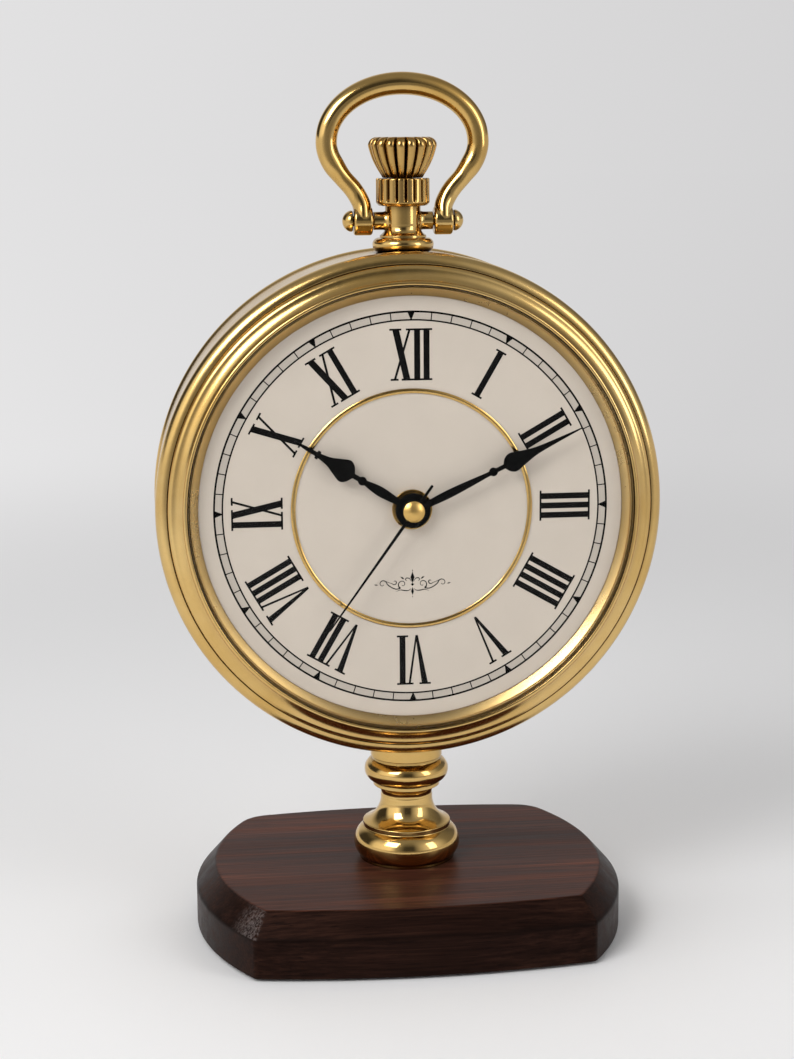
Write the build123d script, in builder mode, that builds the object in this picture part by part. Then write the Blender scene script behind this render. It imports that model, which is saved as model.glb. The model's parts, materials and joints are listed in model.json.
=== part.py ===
"""Desk clock in the form of a pocket watch: a round brass case on a turned pillar and a wooden base.

The pillar's axis is +Z with the origin on the table, the dial faces -Y. Distances called front
are measured from the pillar's axis towards the viewer, which is along -Y.
"""

import math
import os

from build123d import *

os.makedirs("parts", exist_ok=True)

# Fits and cuts
running_clearance = 0.05
seat_clearance = 0.10
curved_seat_gap = 0.20
cut_overrun = 5.0

# Base and felt
base_height = 19.5
base_half_width = 65.5
base_half_depth = 53.0
base_end_bow = 15.4
base_front_bow = 4.3
base_bevel_height = 6.9
base_bevel_inset = 6.1
base_corner_round = 1.2
felt_thickness = 0.8
felt_margin = 3.0

# Tie rod through base, pillar and case
rod_radius = 2.9
rod_hole_clearance = 0.25
rod_end_length = 2.0
nut_flats = 10.0
nut_height = 5.0
tie_washer_radius = 8.0
tie_washer_thickness = 1.2
base_pocket_depth = 10.0
pocket_clearance = 1.5

# Pillar: heights as shares of its height, from the base up to the underside of the case
pillar_height = 38.0
pillar_foot_radius = 14.7
pillar_bulge_radius = 16.35
pillar_step_radius = 13.5
pillar_waist_radius = 8.0
pillar_fillet_radius = 10.3
pillar_torus_radius = 12.95
pillar_collar_radius = 11.0
pillar_shares = {
    "foot_top": 0.025,
    "bulge": 0.155,
    "bulge_top": 0.265,
    "step_top": 0.305,
    "flare": 0.385,
    "waist": 0.520,
    "waist_top": 0.612,
    "fillet_top": 0.642,
    "torus": 0.740,
    "torus_top": 0.830,
    "neck_top": 0.855,
}
pillar_flare_share = 0.26
pillar_upper_flare_share = 0.22
pillar_torus_seat_share = 0.90
pillar_neck_share = 0.96

# Bezel, reveal and glass, by radius and by rise in front of the dial face
glass_radius = 65.5
glass_thickness = 1.8
glass_dome = 5.4
reveal_width = 2.9
reveal_rise = 3.2
reveal_lip_rise = 0.6
reveal_flange_width = 0.6
bead_width = 1.5
bead_rise = 4.9
bead_drop = 0.7
cove_width = 2.9
cove_drop = 2.1
cove_sag = 0.45
ridge_width = 1.6
ridge_crown = 0.35
rim_rise = 0.6
ridge_groove_depth = 0.5
bezel_skirt_wall = 1.9
bezel_skirt_length = 8.4

# Case body
case_wall = 2.8
band_margin = 0.6
front_roll_rise = 0.6
rear_roll_rise = 0.6
rear_roll_width = 4.4
rear_rim_drop = 1.4
case_inner_step = 2.6
cover_thickness = 1.6
cover_window_radius = 39.0
cover_screw_count = 4
cover_screw_radius = 1.0
cover_screw_head_radius = 1.7
cover_screw_length = 5.0

# Dial, its applied ring and the ring that clamps it
dial_thickness = 0.8
dial_ring_radius = 35.0
dial_ring_width = 1.4
dial_ring_thickness = 0.5
retainer_width = 3.5
retainer_depth = 3.0

# Pendant, crown and bow
pendant_base_radius = 9.1
pendant_base_height = 4.6
pendant_step_radius = 6.9
pendant_step_height = 0.7
pendant_neck_radius = 5.25
pendant_neck_height = 13.2
pendant_flare_height = 3.3
pendant_pivot_height = 8.8
pendant_arm_radius = 2.65
pendant_spigot_radius = 3.0
pendant_stud_radius = 3.0
pendant_nut_height = 4.0
crown_collar_radius = 7.95
crown_collar_height = 8.0
crown_collar_edge = 0.8
crown_bottom_radius = 6.1
crown_radius = 10.2
crown_height = 11.8
crown_edge_round = 2.5
crown_swell = 0.5
flute_count = 18
crown_flute_depth = 1.1
collar_flute_depth = 0.6
flute_width_share = 0.30
crown_gap = 0.10
bow_eye_start = 9.1
bow_eye_radius = 4.2
bow_eye_width = 5.6
bow_eye_round = 0.8
bow_eye_gap = 0.30
bow_pin_radius = 1.5
bow_screw_radius = 3.1
bow_screw_height = 3.0
bow_screw_edge = 0.8
bow_half_width = 22.4
bow_top_height = 39.7
bow_top_radius = 3.3
bow_side_radius = 3.15
bow_bend_radius = 2.75
bow_neck_radius = 2.7
bow_widest_share = 0.580
bow_shares = [
    (0.540, 0.105, 90.0, "neck"),
    (0.585, 0.170, 71.0, "bend"),
    (0.665, 0.240, 52.0, "bend"),
    (0.790, 0.320, 45.0, "bend"),
    (0.900, 0.405, 58.0, "side"),
    (0.975, 0.490, 75.0, "side"),
]
bow_arc_steps = 5

# Hands: lengths from the dial axis, outlines as shares of those lengths
hand_thickness = 0.45
hand_gap = 0.40
hour_hand_length = 40.5
hour_hand_turn = 301.8
hour_hub_radius = 5.1
minute_hand_length = 56.3
minute_hand_turn = 64.8
minute_hub_radius = 3.4
second_hand_length = 43.0
second_hand_tail = 9.5
second_hand_turn = 215.7
second_hub_radius = 2.2
second_hand_half_width = 0.50
second_hand_tip_half_width = 0.20
second_hand_tail_half_width = 0.38
cap_radius = 3.15
cap_height = 1.2
hour_leaf_shares = [(0.0200, 0.10), (0.0360, 0.277), (0.0190, 0.410)]
hour_bead_share = 0.432
hour_bead_radius_share = 0.032
hour_neck_shares = [(0.0185, 0.40), (0.0185, 0.53)]
hour_spade_shares = [
    (0.0150, 0.505),
    (0.0640, 0.535),
    (0.0860, 0.580),
    (0.0620, 0.645),
    (0.0330, 0.715),
    (0.0180, 0.800),
]
hour_collar_shares = [(0.0320, 0.795), (0.0320, 0.820)]
hour_tip_shares = [(0.0175, 0.78), (0.0150, 0.90), (0.0040, 1.0)]
minute_leaf_shares = [(0.0150, 0.04), (0.0187, 0.20), (0.0085, 0.46)]
minute_bead_share = 0.474
minute_bead_radius_share = 0.0235
minute_neck_shares = [(0.0098, 0.44), (0.0098, 0.56)]
minute_spade_shares = [
    (0.0100, 0.538),
    (0.0380, 0.558),
    (0.0524, 0.592),
    (0.0380, 0.650),
    (0.0200, 0.730),
    (0.0105, 0.850),
    (0.0030, 1.000),
]

# Movement housing, battery and its contacts
movement_width = 56.0
movement_depth = 16.4
movement_corner = 4.0
movement_wall = 1.2
movement_split = 8.0
gasket_thickness = 0.8
gasket_margin = 6.0
bush_radius = 4.0
bush_proud = 0.2
dial_nut_radius = 5.4
dial_nut_height = 1.5
dial_washer_radius = 5.95
dial_washer_thickness = 0.5
battery_radius = 7.25
battery_length = 50.5
battery_nub_radius = 2.7
battery_nub_length = 1.0
battery_proud = 0.3
bay_clearance = 0.45
contact_thickness = 0.4
contact_width = 10.0
contact_bulge = 1.1

# Wheels: tooth counts, centre distances and the layers they lie in, counted from the dial
arbor_radius = 0.5
pivot_radius = 0.35
pivot_length = 0.7
wheel_thickness = 0.8
motor_layer = 5
layer_gap = 0.7
end_float = 0.6
pinion_extra = 0.15
second_arbor_radius = 0.6
cannon_radius = 1.6
hour_pipe_radius = 2.5
motion_stud_radius = 0.75
hour_teeth, motion_pinion_teeth = 32, 8
cannon_teeth, motion_teeth = 10, 30
setting_teeth = 10
centre_teeth, third_pinion_teeth = 45, 6
third_teeth, second_pinion_teeth = 48, 6
second_teeth, intermediate_pinion_teeth = 30, 6
intermediate_teeth, rotor_pinion_teeth = 36, 6
motion_distance = 10.0
third_distance = 10.2
intermediate_distance = 10.1
rotor_distance = 7.35
motion_bearing = 20.0
setting_bearing = -5.0
third_bearing = 160.0
intermediate_bearing = 90.0
rotor_bearing = 130.0
tip_share = 0.62
root_share = 0.90
tip_width_share = 0.10
root_width_share = 0.21
setting_shaft_radius = 1.0
knob_radius = 5.5
knob_thickness = 4.0
knob_gap = 0.6
knob_ribs = 24
knob_rib_depth = 0.4

# Motor and circuit
magnet_radius = 2.6
magnet_thickness = 1.8
stator_thickness = 0.8
stator_gap = 0.5
stator_ring_wall = 1.2
stator_half_width = 16.2
stator_limb = 4.4
stator_bar = 5.0
core_width = 2.0
coil_half_length = 11.0
coil_radius = 2.7
coil_flange_radius = 3.0
coil_flange_thickness = 0.8
coil_top_gap = 0.3
board_thickness = 1.0
board_width = 12.0
board_length = 29.0
board_stand = 1.8
board_post_radius = 1.2
board_margin = 1.2
crystal_radius = 1.0
crystal_length = 6.0
chip_radius = 3.0
chip_height = 1.1

# Radii and fronts that follow from the sizes above
bezel_bore = glass_radius + seat_clearance
bezel_radius = bezel_bore + bead_width + cove_width + ridge_width
case_rim_bore = bezel_radius + seat_clearance
case_radius = case_rim_bore + case_wall
case_bore = case_rim_bore - case_inner_step
skirt_bore = bezel_radius - bezel_skirt_wall
dial_radius = skirt_bore - seat_clearance
dial_opening = glass_radius - reveal_width
dial_height = base_height + pillar_height + case_radius
dial_front = gasket_thickness + dial_thickness + movement_depth
dial_back = dial_front - dial_thickness
rim_front = dial_front + rim_rise
skirt_back = dial_front - bezel_skirt_length
band_half_width = pillar_collar_radius + band_margin
case_back = -band_half_width - rear_roll_width
cover_seat_radius = case_radius + rear_roll_rise - rear_rim_drop
cover_screw_circle = (case_bore + cover_seat_radius) / 2

facing_axis = (0, -1, 0)
dial_axis = Axis((0, 0, dial_height), (0, 1, 0))
turning_plane = Plane(origin=(0, 0, dial_height), x_dir=(1, 0, 0), z_dir=(0, 0, -1))


def facing(front, spot=(0, 0), turn=0):
    """Plane parallel to the dial, with its origin on an axis through a spot beside the dial's centre."""
    origin = (spot[0], -front, dial_height + spot[1])
    angle = math.radians(turn)
    return Plane(origin=origin, x_dir=(math.cos(angle), 0, math.sin(angle)), z_dir=facing_axis)


def upright(height):
    """Plane parallel to the table."""
    return Plane.XY.offset(height)


def save(piece, name):
    """Label a finished piece and write it to its own file."""
    piece.part.label = name
    export_step(piece.part, f"parts/{name}.step")


def dial_disc(radius, bore, back, front):
    """Round plate or ring on the dial's axis."""
    with BuildPart() as piece:
        with BuildSketch(facing(back)):
            Circle(radius)
            if bore:
                Circle(bore, mode=Mode.SUBTRACT)
        extrude(amount=front - back)
    return piece


def hex_nut(bottom, height, bore):
    """Hexagon nut on the pillar's axis."""
    with BuildPart() as piece:
        with BuildSketch(upright(bottom)):
            RegularPolygon(nut_flats / 2, 6, major_radius=False)
            Circle(bore, mode=Mode.SUBTRACT)
        extrude(amount=height)
    return piece


def dome_middle(radius, height):
    """Point halfway along a dome's outline, as radius and height above the dome's rim."""
    ball = (radius**2 + height**2) / (2 * height)
    half_turn = math.asin(radius / ball) / 2
    return (ball * math.sin(half_turn), height - ball * (1 - math.cos(half_turn)))


def between(start, end, share):
    """Value a given share of the way from start to end."""
    return start + (end - start) * share


def base_outline():
    """Plan of the base: bowed front and back, and rounder bowed ends."""
    with BuildLine() as outline:
        base_corner_x = base_half_width - base_end_bow
        base_corner_y = base_half_depth - base_front_bow
        front_left = (-base_corner_x, -base_corner_y)
        front_right = (base_corner_x, -base_corner_y)
        back_right = (base_corner_x, base_corner_y)
        back_left = (-base_corner_x, base_corner_y)
        ThreePointArc(front_left, (0, -base_half_depth), front_right)
        ThreePointArc(front_right, (base_half_width, 0), back_right)
        ThreePointArc(back_right, (0, base_half_depth), back_left)
        ThreePointArc(back_left, (-base_half_width, 0), front_left)
        fillet(outline.vertices(), base_corner_round)
    make_face(outline.edges())


# Wooden base with a bevelled top edge, a hole for the rod and a pocket for its nut
rod_hole_radius = rod_radius + rod_hole_clearance
base_side_top = base_height - base_bevel_height
pocket_radius = tie_washer_radius + pocket_clearance
pocket_top = felt_thickness + base_pocket_depth
with BuildPart() as wood_base:
    with BuildSketch(upright(felt_thickness)):
        base_outline()
    extrude(amount=base_side_top - felt_thickness)
    with BuildSketch(upright(base_side_top)):
        base_outline()
    bevel_angle = math.degrees(math.atan2(base_bevel_inset, base_bevel_height))
    extrude(amount=base_bevel_height, taper=bevel_angle)
    with BuildSketch(upright(felt_thickness)):
        Circle(rod_hole_radius)
    extrude(amount=base_height, mode=Mode.SUBTRACT)
    with BuildSketch(upright(felt_thickness)):
        Circle(pocket_radius)
    extrude(amount=base_pocket_depth, mode=Mode.SUBTRACT)
save(wood_base, "wood_base")

# Felt under the base
with BuildPart() as base_felt:
    with BuildSketch(upright(0)):
        base_outline()
        offset(amount=-felt_margin)
    extrude(amount=felt_thickness)
save(base_felt, "base_felt")

# Turned pillar, bored for the rod and hollowed on top to the curve of the case
pillar_top = base_height + pillar_height
saddle_rise = case_radius - math.sqrt(case_radius**2 - pillar_collar_radius**2)


def pillar_point(radius, place):
    """Point on the pillar's outline at one of its named heights."""
    return (radius, base_height + pillar_shares[place] * pillar_height)


with BuildPart() as pillar:
    foot_bottom = (pillar_foot_radius, base_height)
    foot_top = pillar_point(pillar_foot_radius, "foot_top")
    bulge_top = pillar_point(pillar_step_radius, "bulge_top")
    step_top = pillar_point(pillar_step_radius, "step_top")
    waist = pillar_point(pillar_waist_radius, "waist")
    fillet_bottom = pillar_point(pillar_fillet_radius, "waist_top")
    fillet_top = pillar_point(pillar_fillet_radius, "fillet_top")
    neck_radius = pillar_neck_share * pillar_collar_radius
    torus_bottom = pillar_point(pillar_torus_seat_share * pillar_collar_radius, "fillet_top")
    torus_top = pillar_point(neck_radius, "torus_top")
    neck_top = pillar_point(neck_radius, "neck_top")
    flare_radius = between(pillar_waist_radius, pillar_step_radius, pillar_flare_share)
    upper_radius = between(pillar_waist_radius, pillar_fillet_radius, pillar_upper_flare_share)
    upper_height = between(waist[1], fillet_bottom[1], 1 / math.sqrt(2))
    collar_top = pillar_top + saddle_rise
    with BuildSketch(Plane.XZ):
        with BuildLine():
            Polyline((rod_hole_radius, base_height), foot_bottom, foot_top)
            ThreePointArc(foot_top, pillar_point(pillar_bulge_radius, "bulge"), bulge_top)
            Line(bulge_top, step_top)
            ThreePointArc(step_top, pillar_point(flare_radius, "flare"), waist)
            ThreePointArc(waist, (upper_radius, upper_height), fillet_bottom)
            Polyline(fillet_bottom, fillet_top, torus_bottom)
            ThreePointArc(torus_bottom, pillar_point(pillar_torus_radius, "torus"), torus_top)
            Polyline(
                torus_top,
                neck_top,
                (pillar_collar_radius, neck_top[1]),
                (pillar_collar_radius, collar_top),
                (rod_hole_radius, collar_top),
                (rod_hole_radius, base_height),
            )
        make_face()
    revolve(axis=Axis.Z)
    with BuildSketch(facing(0)):
        Circle(case_radius + seat_clearance)
    extrude(amount=pillar_collar_radius + cut_overrun, both=True, mode=Mode.SUBTRACT)
save(pillar, "pillar")

# Tie rod with a washer and nut in the base and a nut inside the case
nut_corner = nut_flats / math.sqrt(3)
case_floor = dial_height - math.sqrt(case_bore**2 - nut_corner**2)
washer_bottom = pocket_top - tie_washer_thickness
tie_nut_bottom = washer_bottom - nut_height
case_nut_bottom = case_floor + curved_seat_gap
nut_bore = rod_radius + running_clearance
rod_bottom = tie_nut_bottom - rod_end_length
rod_top = case_nut_bottom + nut_height + rod_end_length
with BuildPart() as tie_rod:
    with BuildSketch(upright(rod_bottom)):
        Circle(rod_radius)
    extrude(amount=rod_top - rod_bottom)
save(tie_rod, "tie_rod")

with BuildPart() as tie_washer:
    with BuildSketch(upright(washer_bottom)):
        Circle(tie_washer_radius)
        Circle(rod_hole_radius, mode=Mode.SUBTRACT)
    extrude(amount=tie_washer_thickness)
save(tie_washer, "tie_washer")

tie_nut = hex_nut(tie_nut_bottom, nut_height, nut_bore)
save(tie_nut, "tie_nut")
case_nut = hex_nut(case_nut_bottom, nut_height, nut_bore)
save(case_nut, "case_nut")

# Case body: front roll, plain band for the pillar and the pendant, rear roll
front_roll_radius = case_radius + front_roll_rise
rear_roll_radius = case_radius + rear_roll_rise
rear_roll_middle = -band_half_width - rear_roll_width / 2
front_roll_middle = (rim_front + band_half_width) / 2
roll_top_radius = between(case_rim_bore, front_roll_radius, math.sqrt(3) / 2)
roll_top_front = between(rim_front, front_roll_middle, 1 / 2)
roll_foot_radius = between(case_radius, front_roll_radius, 3 / 4)
roll_foot_front = between(front_roll_middle, band_half_width, 1 / 2)
shoulder_front = skirt_back - seat_clearance
with BuildPart() as case_body:
    with BuildSketch(turning_plane):
        with BuildLine():
            Polyline((case_bore, case_back), (case_bore, shoulder_front), (case_rim_bore, shoulder_front))
            Line((case_rim_bore, shoulder_front), (case_rim_bore, rim_front))
            rim_roll = ThreePointArc(
                (case_rim_bore, rim_front),
                (roll_top_radius, roll_top_front),
                (front_roll_radius, front_roll_middle),
            )
            ThreePointArc(
                rim_roll @ 1,
                (roll_foot_radius, roll_foot_front),
                (case_radius, band_half_width),
            )
            Line((case_radius, band_half_width), (case_radius, -band_half_width))
            ThreePointArc(
                (case_radius, -band_half_width),
                (rear_roll_radius, rear_roll_middle),
                (cover_seat_radius, case_back),
            )
            Line((cover_seat_radius, case_back), (case_bore, case_back))
        make_face()
    revolve(axis=dial_axis)
    with BuildSketch(upright(dial_height)):
        Circle(pendant_stud_radius + seat_clearance)
    extrude(amount=rear_roll_radius + cut_overrun, mode=Mode.SUBTRACT)
    with BuildSketch(upright(dial_height)):
        Circle(rod_hole_radius)
    extrude(amount=-rear_roll_radius - cut_overrun, mode=Mode.SUBTRACT)
    with BuildSketch(facing(case_back)):
        with PolarLocations(cover_screw_circle, cover_screw_count, start_angle=45):
            Circle(cover_screw_radius + running_clearance)
    extrude(amount=cover_screw_length, mode=Mode.SUBTRACT)
save(case_body, "case_body")

# Back cover: a ring plate whose window leaves the movement in reach, and its screws
cover_back = case_back - cover_thickness
with BuildPart() as back_cover:
    with BuildSketch(facing(cover_back)):
        Circle(cover_seat_radius)
        Circle(cover_window_radius, mode=Mode.SUBTRACT)
        with PolarLocations(cover_screw_circle, cover_screw_count, start_angle=45):
            Circle(cover_screw_radius + running_clearance, mode=Mode.SUBTRACT)
    extrude(amount=cover_thickness)
save(back_cover, "back_cover")

with BuildPart() as cover_screws:
    with BuildSketch(facing(cover_back)):
        with PolarLocations(cover_screw_circle, cover_screw_count, start_angle=45):
            Circle(cover_screw_radius)
    extrude(amount=cover_screw_length)
    with BuildSketch(facing(cover_back)):
        with PolarLocations(cover_screw_circle, cover_screw_count, start_angle=45):
            Circle(cover_screw_head_radius)
    extrude(amount=-cover_screw_radius)
save(cover_screws, "cover_screws")

# Bezel: bead round the glass, cove, ridge, and a skirt that slides into the case
bead_front = dial_front + bead_rise
bead_start = (bezel_bore, bead_front - bead_drop)
bead_crest = (bezel_bore + bead_width / 2, bead_front)
bead_end = (bezel_bore + bead_width, bead_front - bead_drop)
ridge_start = (bead_end[0] + cove_width, bead_end[1] - cove_drop)
cove_middle = (
    between(bead_end[0], ridge_start[0], 1 / 2),
    between(bead_end[1], ridge_start[1], 1 / 2) - cove_sag,
)
groove_front = rim_front - ridge_groove_depth
ridge_end = (bezel_radius, groove_front)
ridge_middle = (
    between(ridge_start[0], ridge_end[0], 1 / 2) + ridge_crown,
    between(ridge_start[1], ridge_end[1], 1 / 2) + ridge_crown,
)
with BuildPart() as bezel:
    with BuildSketch(turning_plane):
        with BuildLine():
            Line((bezel_bore, dial_front), bead_start)
            ThreePointArc(bead_start, bead_crest, bead_end)
            ThreePointArc(bead_end, cove_middle, ridge_start)
            ThreePointArc(ridge_start, ridge_middle, ridge_end)
            Polyline(
                ridge_end,
                (bezel_radius, skirt_back),
                (skirt_bore, skirt_back),
                (skirt_bore, dial_front),
                (bezel_bore, dial_front),
            )
        make_face()
    revolve(axis=dial_axis)
save(bezel, "bezel")

# Polished reveal between the dial and the glass
glass_seat = dial_front + reveal_rise
reveal_flange = glass_radius - reveal_flange_width
with BuildPart() as reveal_ring:
    with BuildSketch(turning_plane):
        with BuildLine():
            Polyline(
                (dial_opening, dial_front),
                (dial_opening, dial_front + reveal_lip_rise),
                (reveal_flange, glass_seat),
                (glass_radius, glass_seat),
                (glass_radius, dial_front),
                close=True,
            )
        make_face()
    revolve(axis=dial_axis)
save(reveal_ring, "reveal_ring")

# Domed glass, one thickness from rim to crown
glass_front = glass_seat + glass_thickness
dome_radius = (glass_radius**2 + glass_dome**2) / (2 * glass_dome)
dome_centre = glass_front + glass_dome - dome_radius
inner_dome_radius = dome_radius - glass_thickness
half_turn = math.asin(glass_radius / dome_radius) / 2
rim_inner_front = dome_centre + math.sqrt(inner_dome_radius**2 - reveal_flange**2)
inner_middle_front = dome_centre + inner_dome_radius * math.cos(half_turn)
with BuildPart() as dial_glass:
    with BuildSketch(turning_plane):
        with BuildLine():
            Polyline((0, dome_centre + inner_dome_radius), (0, dome_centre + dome_radius))
            ThreePointArc(
                (0, dome_centre + dome_radius),
                (dome_radius * math.sin(half_turn), dome_centre + dome_radius * math.cos(half_turn)),
                (glass_radius, glass_front),
            )
            Polyline(
                (glass_radius, glass_front),
                (glass_radius, glass_seat),
                (reveal_flange, glass_seat),
                (reveal_flange, rim_inner_front),
            )
            ThreePointArc(
                (reveal_flange, rim_inner_front),
                (inner_dome_radius * math.sin(half_turn), inner_middle_front),
                (0, dome_centre + inner_dome_radius),
            )
        make_face()
    revolve(axis=dial_axis)
save(dial_glass, "dial_glass")

# Dial plate, its applied ring and the ring that clamps it in the bezel
dial_plate = dial_disc(dial_radius, bush_radius + seat_clearance, dial_back, dial_front)
save(dial_plate, "dial_plate")
ring_outer = dial_ring_radius + dial_ring_width / 2
ring_front = dial_front + dial_ring_thickness
dial_ring = dial_disc(ring_outer, ring_outer - dial_ring_width, dial_front, ring_front)
save(dial_ring, "dial_ring")
retainer_back = dial_back - retainer_depth
dial_retainer = dial_disc(dial_radius, dial_radius - retainer_width, retainer_back, dial_back)
save(dial_retainer, "dial_retainer")

# Pendant: a turned neck on the case, with arms for the bow and a spigot for the crown
case_top = dial_height + case_radius
pendant_seat = dial_height + math.sqrt(case_radius**2 - pendant_base_radius**2)
pendant_step_bottom = case_top + pendant_base_height - pendant_step_height
pendant_step_top = case_top + pendant_base_height
pendant_neck_bottom = pendant_step_top + pendant_flare_height
pendant_top = case_top + pendant_neck_height
pivot_height = case_top + pendant_pivot_height
crown_bottom = pendant_top + crown_collar_height + crown_gap
spigot_top = crown_bottom + crown_height / 2
pendant_arm_end = bow_eye_start - bow_eye_gap
pendant_nut_top = dial_height + math.sqrt(case_bore**2 - nut_corner**2) - curved_seat_gap
stud_bottom = pendant_nut_top - pendant_nut_height - rod_end_length / 2
base_bulge_height = between(pendant_seat, pendant_step_bottom, 1 / 2)
flare_inset = between(pendant_neck_radius, pendant_step_radius, 1 - 1 / math.sqrt(2))
with BuildPart() as pendant:
    with BuildSketch(Plane.XZ):
        with BuildLine():
            Line((0, pendant_seat), (pendant_step_radius, pendant_seat))
            ThreePointArc(
                (pendant_step_radius, pendant_seat),
                (pendant_base_radius, base_bulge_height),
                (pendant_step_radius, pendant_step_bottom),
            )
            Line((pendant_step_radius, pendant_step_bottom), (pendant_step_radius, pendant_step_top))
            ThreePointArc(
                (pendant_step_radius, pendant_step_top),
                (flare_inset, between(pendant_step_top, pendant_neck_bottom, 1 - 1 / math.sqrt(2))),
                (pendant_neck_radius, pendant_neck_bottom),
            )
            Polyline(
                (pendant_neck_radius, pendant_neck_bottom),
                (pendant_neck_radius, pendant_top),
                (pendant_spigot_radius, pendant_top),
                (pendant_spigot_radius, spigot_top),
                (0, spigot_top),
                (0, pendant_seat),
            )
        make_face()
    revolve(axis=Axis.Z)
    with BuildSketch(Plane.YZ):
        with Locations((0, pivot_height)):
            Circle(pendant_arm_radius)
    extrude(amount=pendant_arm_end, both=True)
    with BuildSketch(Plane.YZ):
        with Locations((0, pivot_height)):
            Circle(bow_pin_radius + running_clearance)
    extrude(amount=pendant_arm_end + cut_overrun, both=True, mode=Mode.SUBTRACT)
    with BuildSketch(facing(0)):
        Circle(case_radius + seat_clearance)
    extrude(amount=pendant_base_radius + cut_overrun, both=True, mode=Mode.SUBTRACT)
    with BuildSketch(upright(stud_bottom)):
        Circle(pendant_stud_radius)
    extrude(amount=pendant_step_bottom - stud_bottom)
save(pendant, "pendant")

with BuildPart() as pendant_nut:
    with BuildSketch(upright(pendant_nut_top)):
        RegularPolygon(nut_flats / 2, 6, major_radius=False)
        Circle(pendant_stud_radius + running_clearance, mode=Mode.SUBTRACT)
    extrude(amount=-pendant_nut_height)
save(pendant_nut, "pendant_nut")

# Ribbed collar under the crown
spigot_bore = pendant_spigot_radius + seat_clearance
collar_flute_width = flute_width_share * math.tau * crown_collar_radius / flute_count
with BuildPart() as crown_collar:
    with BuildSketch(Plane.XZ):
        with BuildLine():
            Polyline(
                (spigot_bore, pendant_top),
                (crown_collar_radius - crown_collar_edge, pendant_top),
                (crown_collar_radius, pendant_top + crown_collar_edge),
                (crown_collar_radius, pendant_top + crown_collar_height),
                (spigot_bore, pendant_top + crown_collar_height),
                close=True,
            )
        make_face()
    revolve(axis=Axis.Z)
    with BuildSketch(upright(pendant_top)):
        with PolarLocations(crown_collar_radius, flute_count):
            Ellipse(collar_flute_depth, collar_flute_width / 2)
    extrude(amount=crown_collar_height, mode=Mode.SUBTRACT)
save(crown_collar, "crown_collar")

# Fluted crown: a flared knob cut by grooves that follow its side
crown_top = crown_bottom + crown_height
crown_shoulder = crown_top - crown_edge_round
crown_top_radius = crown_radius - crown_edge_round
crown_edge_middle = crown_edge_round / math.sqrt(2)
flute_tilt = math.atan2(crown_radius - crown_bottom_radius, crown_shoulder - crown_bottom)
crown_flute_width = flute_width_share * math.tau * crown_radius / flute_count
with BuildPart() as crown:
    with BuildSketch(Plane.XZ):
        with BuildLine():
            Line((0, crown_bottom), (crown_bottom_radius, crown_bottom))
            ThreePointArc(
                (crown_bottom_radius, crown_bottom),
                (
                    between(crown_bottom_radius, crown_radius, 1 / 2) + crown_swell * math.cos(flute_tilt),
                    between(crown_bottom, crown_shoulder, 1 / 2) - crown_swell * math.sin(flute_tilt),
                ),
                (crown_radius, crown_shoulder),
            )
            ThreePointArc(
                (crown_radius, crown_shoulder),
                (crown_top_radius + crown_edge_middle, crown_shoulder + crown_edge_middle),
                (crown_top_radius, crown_top),
            )
            Polyline((crown_top_radius, crown_top), (0, crown_top), (0, crown_bottom))
        make_face()
    revolve(axis=Axis.Z)
    for flute in range(flute_count):
        turn = math.tau * flute / flute_count
        outward = (math.cos(turn), math.sin(turn))
        start = (crown_bottom_radius * outward[0], crown_bottom_radius * outward[1], crown_bottom)
        across = (math.cos(flute_tilt) * outward[0], math.cos(flute_tilt) * outward[1], -math.sin(flute_tilt))
        along = (math.sin(flute_tilt) * outward[0], math.sin(flute_tilt) * outward[1], math.cos(flute_tilt))
        groove_plane = Plane(origin=start, x_dir=across, z_dir=along)
        with BuildSketch(groove_plane.offset(-cut_overrun)):
            Ellipse(crown_flute_depth, crown_flute_width / 2)
        extrude(amount=crown_height + 2 * cut_overrun, mode=Mode.SUBTRACT)
    with BuildSketch(upright(crown_bottom)):
        Circle(spigot_bore)
    extrude(amount=spigot_top - crown_bottom + seat_clearance, mode=Mode.SUBTRACT)
save(crown, "crown")

# Bow: a round-section loop between two eyes, drawn as one half and mirrored
bow_eye_middle = bow_eye_start + bow_eye_width / 2
bow_widest = bow_widest_share * bow_top_height
bow_radii = {"neck": bow_neck_radius, "bend": bow_bend_radius, "side": bow_side_radius, "top": bow_top_radius}


def bow_section(across, height, climb, radius):
    """Round section of the bow's wire, square to its run at a given climb from level."""
    angle = math.radians(climb)
    along = (math.cos(angle), 0, math.sin(angle))
    plane = Plane(origin=(across, 0, pivot_height + height), x_dir=(0, 1, 0), z_dir=along)
    with BuildSketch(plane) as section:
        Circle(radius)
    return section.sketch


with BuildPart() as bow:
    with BuildSketch(Plane.YZ.offset(bow_eye_start)):
        with Locations((0, pivot_height)):
            Circle(bow_eye_radius)
    extrude(amount=bow_eye_width)
    fillet(bow.edges().filter_by(GeomType.CIRCLE), bow_eye_round)
    sections = [bow_section(bow_eye_middle, 0, 90, bow_neck_radius)]
    for across_share, height_share, climb, place in bow_shares:
        across = across_share * bow_half_width
        sections.append(bow_section(across, height_share * bow_top_height, climb, bow_radii[place]))
    for step in range(bow_arc_steps + 1):
        swing = math.radians(90 * step / bow_arc_steps)
        across = bow_half_width * math.cos(swing)
        height = between(bow_widest, bow_top_height, math.sin(swing))
        rise = (bow_top_height - bow_widest) * math.cos(swing)
        climb = math.degrees(math.atan2(rise, -bow_half_width * math.sin(swing)))
        radius = between(bow_side_radius, bow_top_radius, step / bow_arc_steps)
        sections.append(bow_section(across, height, climb, radius))
    loft(sections)
    mirror(about=Plane.YZ)
    with BuildSketch(Plane.YZ):
        with Locations((0, pivot_height)):
            Circle(bow_pin_radius + running_clearance)
    extrude(amount=bow_half_width, both=True, mode=Mode.SUBTRACT)
save(bow, "bow")

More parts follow.
